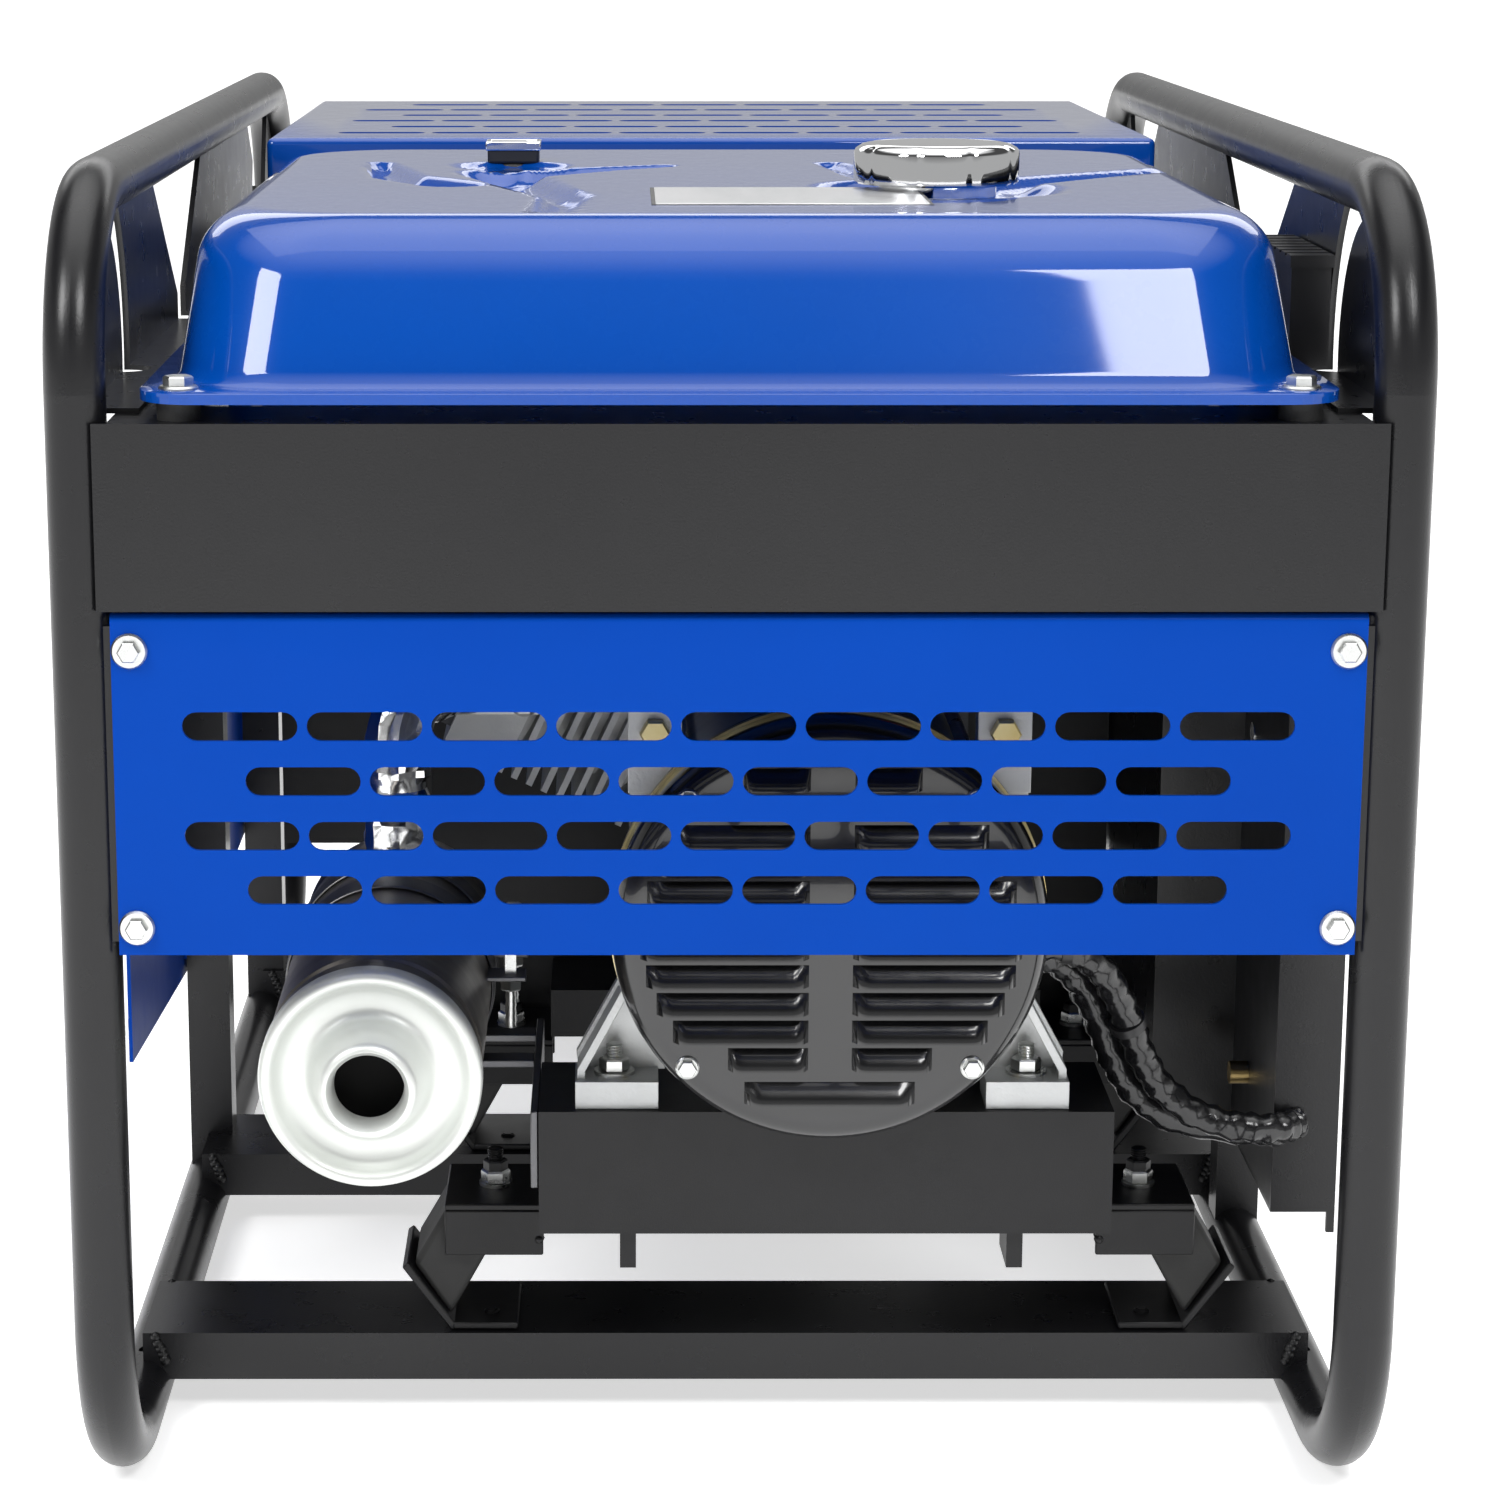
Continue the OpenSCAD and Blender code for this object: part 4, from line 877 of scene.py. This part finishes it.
# %% End bell
eb_lo, eb_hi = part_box("end_bell")
bell_front = cover_depth + c_lo[1] + 0.001
rim = [(0.0965, -0.03), (0.096, 0.0), (0.1015, 0.0), (0.1015, 0.0006), (0.084, 0.0006), (0.084, -0.03)]
hub = [(0.031, -0.03), (0.031, 0.0), (0.042, 0.0), (0.042, -0.03)]
bell = [on_bell(ring(rim, 96), bell_front), on_bell(ring(hub, 64), bell_front)]
for k in range(4):
    arm = block((0.04, 0.004, -0.009), (0.086, 0.026, 0.009))
    bell.append(turned(arm, Matrix.Rotation(math.pi / 2 * k + math.pi / 4, 4, "Y"),
                       (cover_x, bell_front, cover_z)))
LUG_OUT = 0.084
for side in (-1, 1):
    lug_x = cover_x + side * LUG_OUT
    bell.append(block((lug_x - 0.013, bell_front, cover_z + 0.062),
                      (lug_x + 0.013, bell_front + 0.014, cover_z + 0.103)))
    bell.append(turned(prism([(-0.012, 0.0), (0.012, 0.0), (0.012, 0.012), (-0.002, 0.02), (-0.012, 0.012)],
                             0.012),
                       TO_FRONT, (lug_x, bell_front + 0.013, cover_z + 0.05)))
    pad_x = (-0.0555 if side < 0 else 0.1465)
    bell.append(block((pad_x - 0.0205, eb_lo[1] + 0.0045, 0.1771),
                      (pad_x + 0.0205, eb_lo[1] + 0.0365, 0.1912)))
    web = [(pad_x + side * 0.019, 0.190), (pad_x + side * 0.020, 0.199), (pad_x - side * 0.006, 0.247),
           (pad_x - side * 0.014, 0.262),
           (pad_x - side * 0.024, 0.262), (pad_x - side * 0.024, 0.19)]
    flat = prism([(x, z) for x, z in (web if side > 0 else web[::-1])], 0.006)
    bell.append(turned(flat, TO_FRONT, (0, eb_hi[1] - 0.001, 0)))
    rib = [(pad_x + side * 0.0195, 0.190), (pad_x + side * 0.0195, 0.196), (pad_x - side * 0.008, 0.247),
           (pad_x - side * 0.011, 0.244),
           (pad_x + side * 0.0155, 0.195), (pad_x + side * 0.0155, 0.19)]
    bell.append(turned(prism(rib if side > 0 else rib[::-1], 0.024), TO_FRONT, (0, eb_hi[1] - 0.003, 0)))
piece("bell_casting", merged(bell), cast_aluminium, stands_for=["end_bell"], bevel=0.0012)
top_bolts = [turned(hexagon(0.013, 0.007), facing(FRONT),
                    (cover_x + sx * LUG_OUT, bell_front, cover_z + 0.092))
             for sx in (-1, 1)]
piece("bell_top_bolts", merged(top_bolts), yellow_zinc, angle=25)

# %% [markdown]
# ## Engine mounts
# Four mounts carry the engine and alternator. Each has a foot plate on the cross
# channel with a wing folded out, a slanted rubber block inside the wing, and an
# upper bracket at the end of the beam. They are a little lower and narrower than
# the CAD's mounts.

# %% Mounts
beam_lo, beam_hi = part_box("mount_beams")
base_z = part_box("mount_feet")[0][2]
TOP_LOW, TOP_HIGH = 0.0655, 0.069
brackets, rubbers, mount_bolts, foot_rivets = [], [], [], []
for side, end_x in ((-1, beam_lo[0]), (1, beam_hi[0])):
    for y0 in (beam_lo[1] + 0.048, -0.088):
        def put(lo, hi):
            xs = sorted((end_x + side * lo[0], end_x + side * hi[0]))
            return block((xs[0], y0 + lo[1], base_z + lo[2]), (xs[1], y0 + hi[1], base_z + hi[2]))
        brackets.append(put((0.012, 0.004, 0.0003), (0.0455, 0.062, 0.0042)))
        wing = [(0.0, 0.0), (0.0, 0.004), (0.0235, 0.0365), (0.0268, 0.034), (0.002, 0.0)]
        pts = [(end_x + side * (0.0445 + px), base_z + pz) for px, pz in wing]
        brackets.append(turned(prism(pts if side < 0 else pts[::-1], 0.058), TO_FRONT, (0, y0 + 0.062, 0)))
        for y_a, y_b, z_a, z_b in ((0.001, 0.065, TOP_LOW, TOP_HIGH), (0.001, 0.0045, 0.0415, TOP_LOW),
                                   (0.0615, 0.065, 0.0415, TOP_LOW)):
            brackets.append(put((-0.001, y_a, z_a), (0.049, y_b, z_b)))
        slab = [(end_x + side * px, base_z + pz)
                for px, pz in ((0.014, 0.0654), (0.0475, 0.0654), (0.0655, 0.0345), (0.0465, 0.0065))]
        rubbers.append(turned(prism(slab if side < 0 else slab[::-1], 0.05), TO_FRONT, (0, y0 + 0.058, 0)))
        mount_bolts.append(stud_nut((end_x + side * 0.024, y0 + 0.033, base_z + TOP_HIGH), UP, 0.013, 1,
                                    0.017, stud_out=0.001))
        foot_rivets.append(stud_nut((end_x + side * 0.024, y0 + 0.033, base_z + 0.076), UP, 0.011, 1,
                                    stud_out=0.006))
        foot_rivets.append(flange_bolt((end_x + side * 0.026, y0 + 0.02, base_z + 0.0042), UP, 0.005, 0.001,
                                       0.008, 0.0012))
piece("mount_brackets", merged(brackets), satin_black, stands_for=["mount_feet"], bevel=0.0009)
piece("mount_rivets", merged(foot_rivets), satin_black, angle=25)
piece("mount_rubbers", merged(rubbers), rubber, stands_for=["rubber_isolators"], bevel=0.003)
for x in (-0.0567, 0.1471):
    mount_bolts.append(stud_nut((x, eb_lo[1] + 0.0205, 0.1912), UP, 0.013, 1, 0.02, stud_out=0.007))
piece("mount_hardware", merged(mount_bolts), zinc, stands_for=["mount_studs"], angle=25)

# %% [markdown]
# The welds show as small ripples along the beam ends. Each is a row of short,
# flattened drops.

# %% Weld beads
random.seed(3)


def weld(a, b, width=0.005):
    a, b = Vector(a), Vector(b)
    drops = []
    count = max(3, int((b - a).length / 0.0028))
    for i in range(count + 1):
        p = a.lerp(b, i / count) + Vector([random.uniform(-0.0003, 0.0003) for _ in range(3)])
        r = width / 2 * random.uniform(0.9, 1.1)
        bead = lathe([(0.0, -r), (r * 0.7, -r * 0.7), (r, 0.0), (r * 0.7, r * 0.7), (0.0, r)], 10)
        drops.append(turned(bead, UNTURNED, p))
    return merged(drops)


beads = []
for side, end_x in ((-1, beam_lo[0]), (1, beam_hi[0])):
    x = end_x + side * 0.001
    beads.append(weld((x, beam_lo[1] + 0.05, beam_lo[2] - 0.001),
                      (x, beam_lo[1] + 0.078, beam_lo[2] - 0.001)))
    beads.append(weld((x, beam_lo[1] + 0.052, 0.123), (x, beam_lo[1] + 0.052, 0.158)))
for side in (-1, 1):
    for y in (-0.372, -0.297, -0.09, -0.015, 0.297, 0.372):
        beads.append(weld((side * 0.2865, y, 0.0285), (side * 0.2915, y, 0.041), 0.006))
piece("weld_beads", merged(beads), satin_black, angle=80)

# %% [markdown]
# ## Alternator leads
# Two leads, each in a gathered shiny sleeve, leave the side of the bell, drop, and
# run to the control housing. Both ends are held. A tie holds them in two places.

# %% Leads
l_lo, l_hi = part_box("alternator_leads")
lead_y = (l_lo[1] + l_lo[1] + 0.017) / 2
lead_route = [(l_lo[0], lead_y, 0.258), (0.165, lead_y + 0.002, 0.2575), (0.183, lead_y + 0.01, 0.245),
              (0.196, lead_y + 0.022, 0.222), (0.205, lead_y + 0.032, 0.198), (0.216, lead_y + 0.038, 0.175),
              (0.238, lead_y + 0.038, 0.157), (0.264, lead_y + 0.038, 0.151), (0.284, lead_y + 0.043, 0.15),
              (0.29, l_hi[1], 0.15)]


def gathered(step, angle):
    return 0.0074 + 0.0007 * math.sin(step * 1.9) + 0.0004 * math.sin(3 * angle + step)


second_lead = [(x - 0.012, y + 0.012, z - 0.006) for x, y, z in lead_route[:-3]]
second_lead += [(0.276, l_hi[1] - 0.004, 0.146), (0.28, l_hi[1], 0.146)]
piece("lead_sleeve", merged([sweep(lead_route, gathered, 24, 3), sweep(second_lead, gathered, 24, 3)]),
      sleeve,
      stands_for=["alternator_leads"], angle=60)
ties = []
for p, axis in (((0.165, lead_y + 0.002, 0.2575), RIGHT), ((0.2, lead_y + 0.027, 0.21), (0.35, 0.35, -0.85))):
    ties.append(turned(ring([(0.0072, -0.0025), (0.0092, -0.0025), (0.0095, 0.0), (0.0092, 0.0025),
                             (0.0072, 0.0025)], 32),
                       facing(axis), p))
piece("lead_ties", merged(ties), plastic)

# %% [markdown]
# ## Control side
# The right side can't be seen in the photo, so it carries plain controls: an
# ignition key, a choke pull, a current dial with plain ticks, a breaker, an idle
# rocker, a round meter, three sockets under a lid, two welding stud collars and two
# blank plates. The moving ones ride on their own bodies.

# %% Dial and meter
FACE = 0.2815
PANEL_Z = 0.33
DIAL_Y, KEY_Y, BREAKER_Y, CHOKE_Y, METER_Y = -0.06, -0.25, 0.02, -0.18, 0.19
METER_Z, SOCKET_Z, STUD_Z = 0.352, 0.21, 0.15
white_print = finish("white_enamel", (0.75, 0.75, 0.74), (0.8, 0.8, 0.79), rough=(0.35, 0.45), bump=0.02)


def on_panel(shape, y, z=PANEL_Z):
    return turned(shape, facing(RIGHT), (FACE, y, z))


knob = [(0.0, 0.0006), (0.023, 0.0006), (0.023, 0.003), (0.0195, 0.0045), (0.018, 0.0165), (0.0165, 0.0185),
        (0.0, 0.0185)]
piece("dial_knob", on_panel(lathe(knob, 192, lambda a, h: 1 + 0.018 * math.cos(24 * a)), DIAL_Y), plastic,
      body="dial",
      stands_for=["current_dial"], angle=40)
piece("dial_pointer", block((FACE + 0.0184, DIAL_Y - 0.0009, PANEL_Z + 0.003),
                            (FACE + 0.0191, DIAL_Y + 0.0009, PANEL_Z + 0.0155)),
      white_print, body="dial")
ticks = []
for k in range(13):
    turn = Matrix.Rotation(math.radians(-150 + 25 * k), 4, "X")
    ticks.append(turned(block((-0.0001, -0.0006, 0.0255), (0.0004, 0.0006, 0.031 if k % 3 else 0.0335)), turn,
                        (FACE, DIAL_Y, PANEL_Z)))
piece("dial_scale", merged(ticks), white_print)
meter = [(0.0, 0.0), (0.027, 0.0), (0.027, 0.0045), (0.0255, 0.006), (0.0235, 0.006), (0.0225, 0.003),
         (0.0, 0.003)]
piece("meter_case", on_panel(lathe(meter, 72), METER_Y, METER_Z), plastic, angle=40)
piece("meter_face", on_panel(lathe([(0.0, 0.0028), (0.0222, 0.0028), (0.0222, 0.0034), (0.0, 0.0034)], 64),
                             METER_Y, METER_Z), white_print)
needle = block((0.0034, -0.0006, -0.004), (0.0039, 0.0006, 0.017))
piece("meter_needle", turned(needle, Matrix.Rotation(math.radians(38), 4, "X"), (FACE, METER_Y, METER_Z)),
      red_plastic)

# %% Key, choke, breaker and rocker
piece("key_bezel", on_panel(ring([(0.0062, 0.0), (0.0125, 0.0), (0.0118, 0.0035), (0.0068, 0.0042),
                                  (0.0062, 0.004)], 56), KEY_Y), chrome)
barrel = on_panel(lathe([(0.0, -0.003), (0.006, -0.003), (0.006, 0.0052), (0.0, 0.0052)], 40), KEY_Y)
blade = block((FACE + 0.004, KEY_Y - 0.0011, PANEL_Z - 0.0038),
              (FACE + 0.013, KEY_Y + 0.0011, PANEL_Z + 0.0038))
bow = turned(lathe([(0.0, -0.0022), (0.0095, -0.0022), (0.0105, -0.001), (0.0105, 0.001), (0.0095, 0.0022),
                    (0.0, 0.0022)], 48),
             facing(FRONT), (FACE + 0.0155, KEY_Y, PANEL_Z))
piece("key_blade", merged([barrel, blade]), chrome, body="key", stands_for=["start_key"])
piece("key_bow", bow, plastic, body="key", angle=50)
pull = [(0.0, -0.007), (0.0035, -0.007), (0.0035, 0.001), (0.0085, 0.0022), (0.0108, 0.0055),
        (0.0108, 0.0088),
        (0.009, 0.0118), (0.004, 0.0128), (0.0, 0.013)]
piece("choke_pull", on_panel(lathe(pull, 56), CHOKE_Y), plastic, body="choke", stands_for=["choke_knob"],
      angle=40)
piece("choke_nut", on_panel(ring([(0.0045, 0.0), (0.0075, 0.0), (0.0075, 0.0009), (0.0045, 0.0009)], 40),
                            CHOKE_Y), zinc)
button = [(0.0, -0.003), (0.0048, -0.003), (0.0048, 0.0072), (0.004, 0.0082), (0.0, 0.0086)]
piece("breaker_cap", on_panel(lathe(button, 48), BREAKER_Y), red_plastic, body="breaker",
      stands_for=["breaker_button"])
piece("breaker_nut", on_panel(ring([(0.0056, 0.0), (0.0095, 0.0), (0.0088, 0.0032), (0.0056, 0.0032)], 6),
                              BREAKER_Y), plastic)
paddle = [(0.272, 0.3203), (0.2912, 0.3203), (0.2862, 0.3295), (0.2895, 0.3397), (0.272, 0.3397)]
piece("rocker_paddle", turned(prism(paddle, 0.0186), TO_FRONT, (0, 0.0893, 0)), plastic, body="rocker",
      stands_for=["idle_rocker"], bevel=0.0006)
frame_bars = [block((FACE - 0.0002, y0, z0), (FACE + 0.002, y1, z1)) for y0, y1, z0, z1 in (
    (0.0645, 0.069, 0.3145, 0.3455), (0.091, 0.0955, 0.3145, 0.3455),
    (0.0645, 0.0955, 0.3145, 0.318), (0.0645, 0.0955, 0.342, 0.3455))]
piece("rocker_bezel", merged(frame_bars), plastic)

# %% Lid, studs and screws
lid_lo, lid_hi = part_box("outlet_cover")
ribs = [block((lid_hi[0] - 0.0046, y - 0.0012, lid_lo[2] + 0.01),
              (lid_hi[0] - 0.001, y + 0.0012, lid_hi[2] - 0.018))
        for y in (0.1, 0.13, 0.16, 0.19, 0.22, 0.25)]
piece("lid_ribs", merged(ribs), plastic, body="outlet_lid", bevel=0.0004)
collar = ring([(0.0068, 0.0), (0.0185, 0.0), (0.0185, 0.004), (0.0165, 0.0052), (0.0068, 0.0052)], 56)
sockets, slots = [], []
for y in (0.09, 0.19, 0.27):
    sockets.append(on_panel(ring([(0.0165, -0.0008), (0.021, -0.0008), (0.021, 0.0014), (0.0195, 0.0019),
                                  (0.0165, 0.001)], 56), y, SOCKET_Z))
    sockets.append(on_panel(lathe([(0.0, -0.0006), (0.0168, -0.0006), (0.0168, 0.0004), (0.0, 0.0004)], 48),
                            y, SOCKET_Z))
    for k in range(3):
        slot = block((0.0, -0.0011, 0.0065), (0.0006, 0.0011, 0.0125))
        slots.append(turned(slot, Matrix.Rotation(math.radians(120 * k), 4, "X"),
                            (FACE + 0.0001, y, SOCKET_Z)))
piece("socket_faces", merged(sockets), plastic, angle=40)
piece("socket_slots", merged(slots), brass)
piece("stud_collar_red", on_panel(collar, -0.27, STUD_Z), red_plastic)
piece("stud_collar_black", on_panel(collar, -0.19, STUD_Z), plastic)
piece("blank_plates", merged([block((FACE - 0.0002, -0.285, 0.185), (FACE + 0.0006, -0.175, 0.215)),
                              block((FACE - 0.0002, -0.11, 0.272), (FACE + 0.0006, -0.01, 0.284))]),
      plate_metal, bevel=0.0002)
panel_lo, panel_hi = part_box("control_panel")
screws = [flange_bolt((FACE, y, z), RIGHT, 0.005, 0.0016, 0.009, 0.001)
          for y in (panel_lo[1] + 0.012, -0.012, panel_hi[1] - 0.012)
          for z in (panel_lo[2] + 0.011, panel_hi[2] - 0.011)]
side_lo, side_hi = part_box("left_side_panel")
screws += [flange_bolt((side_lo[0], y, z), LEFT, 0.008, 0.003, 0.016, 0.0014)
           for y, z in ((side_lo[1] + 0.014, 0.176), (0.066, side_lo[2] + 0.012),
                        (side_hi[1] - 0.014, side_lo[2] + 0.012),
                        (side_lo[1] + 0.014, side_hi[2] - 0.012), (0.066, side_hi[2] - 0.012),
                        (side_hi[1] - 0.014, side_hi[2] - 0.012))]
piece("side_screws", merged(screws), zinc, angle=25)

# %% [markdown]
# ## Rear
# The starting battery sits on the rear channel with its posts, cell caps and a
# hold-down strap. Four long studs tie the alternator's end bell to the engine.

# %% Battery
t_lo, t_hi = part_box("battery")
case_lo, case_hi = (-0.09, t_lo[1] + 0.005, t_lo[2] + 0.003), (0.09, t_hi[1] - 0.005, t_hi[2] - 0.022)
piece("battery_case", block(case_lo, case_hi), plastic, stands_for=["battery"], bevel=0.004)
piece("battery_lid", block((-0.0915, case_lo[1] - 0.0015, case_hi[2] - 0.0005),
                           (0.0915, case_hi[1] + 0.0015, case_hi[2] + 0.014)),
      engine_grey, bevel=0.002)
piece("battery_tray", block((t_lo[0], t_lo[1], t_lo[2]), (t_hi[0], t_hi[1], t_lo[2] + 0.0032)), satin_black,
      bevel=0.0008)
lid_z = case_hi[2] + 0.014
CAP_PITCH = 0.024
cell_cap = lathe([(0.0, 0.0), (0.0085, 0.0), (0.008, 0.0028), (0.0, 0.0032)], 32)
cell_caps = [turned(cell_cap, UNTURNED, (-0.06 + CAP_PITCH * k, case_lo[1] + 0.036, lid_z - 0.0003))
             for k in range(6)]
piece("cell_caps", merged(cell_caps), plastic)
post = lathe([(0.0, -0.001), (0.0085, -0.001), (0.0075, 0.011), (0.0, 0.0115)], 40)
piece("battery_posts", merged([turned(post, UNTURNED, (x, case_hi[1] - 0.025, lid_z))
                               for x in (-0.068, 0.068)]), bare_steel)
piece("post_boot", turned(lathe([(0.0, 0.004), (0.012, 0.004), (0.0125, 0.012), (0.009, 0.0165),
                                 (0.0, 0.017)], 40), UNTURNED,
                          (0.068, case_hi[1] - 0.025, lid_z)), red_plastic, angle=40)
mid_y = (case_lo[1] + case_hi[1]) / 2 + 0.012
strap = [block((-0.0935, mid_y - 0.009, lid_z), (0.0935, mid_y + 0.009, lid_z + 0.002))]
strap += [block((x - 0.001, mid_y - 0.009, t_lo[2] + 0.002), (x + 0.001, mid_y + 0.009, lid_z + 0.002))
          for x in (-0.0928, 0.0928)]
piece("battery_strap", merged(strap), satin_black, bevel=0.0006)

# %% Alternator studs
core_lo, core_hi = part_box("stator_barrel")
ROD_CIRCLE, ROD_R = 0.1, 0.0036
rods, rod_end = [], -(core_hi[1] - core_lo[1]) - 0.002
for k in range(4):
    a = math.radians(45 + 90 * k)
    at = (cover_x + ROD_CIRCLE * math.cos(a), core_lo[1] - 0.002, cover_z + ROD_CIRCLE * math.sin(a))
    rod = lathe([(0.0, rod_end), (ROD_R, rod_end), (ROD_R, 0.008), (0.0, 0.008)], 20)
    rods.append(turned(rod, facing(FRONT), at))
piece("stator_rods", merged(rods), zinc, angle=30)
band = ring([(0.0948, 0.0), (0.0962, 0.0), (0.0962, -0.006), (0.0948, -0.006)], 96)
bands = [on_bell(band, y) for y in (core_lo[1] + 0.012, core_hi[1] - 0.006)]
piece("stator_bands", merged(bands), dark_steel)

# %% [markdown]
# Two black sheets stand beside the crankcase as painted shade. They close the view through the
# front slots, so that it is dark there like shade.

# %% Painted shade sheets beside the engine
# Black sheets as painted shade, filling the view through the front slots.
SHADE_SHEET_Y0, SHADE_SHEET_Y1, SHADE_SHEET_LOW = -0.018, -0.0165, 0.097
shade_sheets = [block((x0, SHADE_SHEET_Y0, SHADE_SHEET_LOW), (x1, SHADE_SHEET_Y1, top))
           for x0, x1, top in ((-0.165, -0.028, 0.262), (0.132, 0.234, 0.33))]
piece("engine_side_shade_sheets", merged(shade_sheets), satin_black, bevel=0.0004)
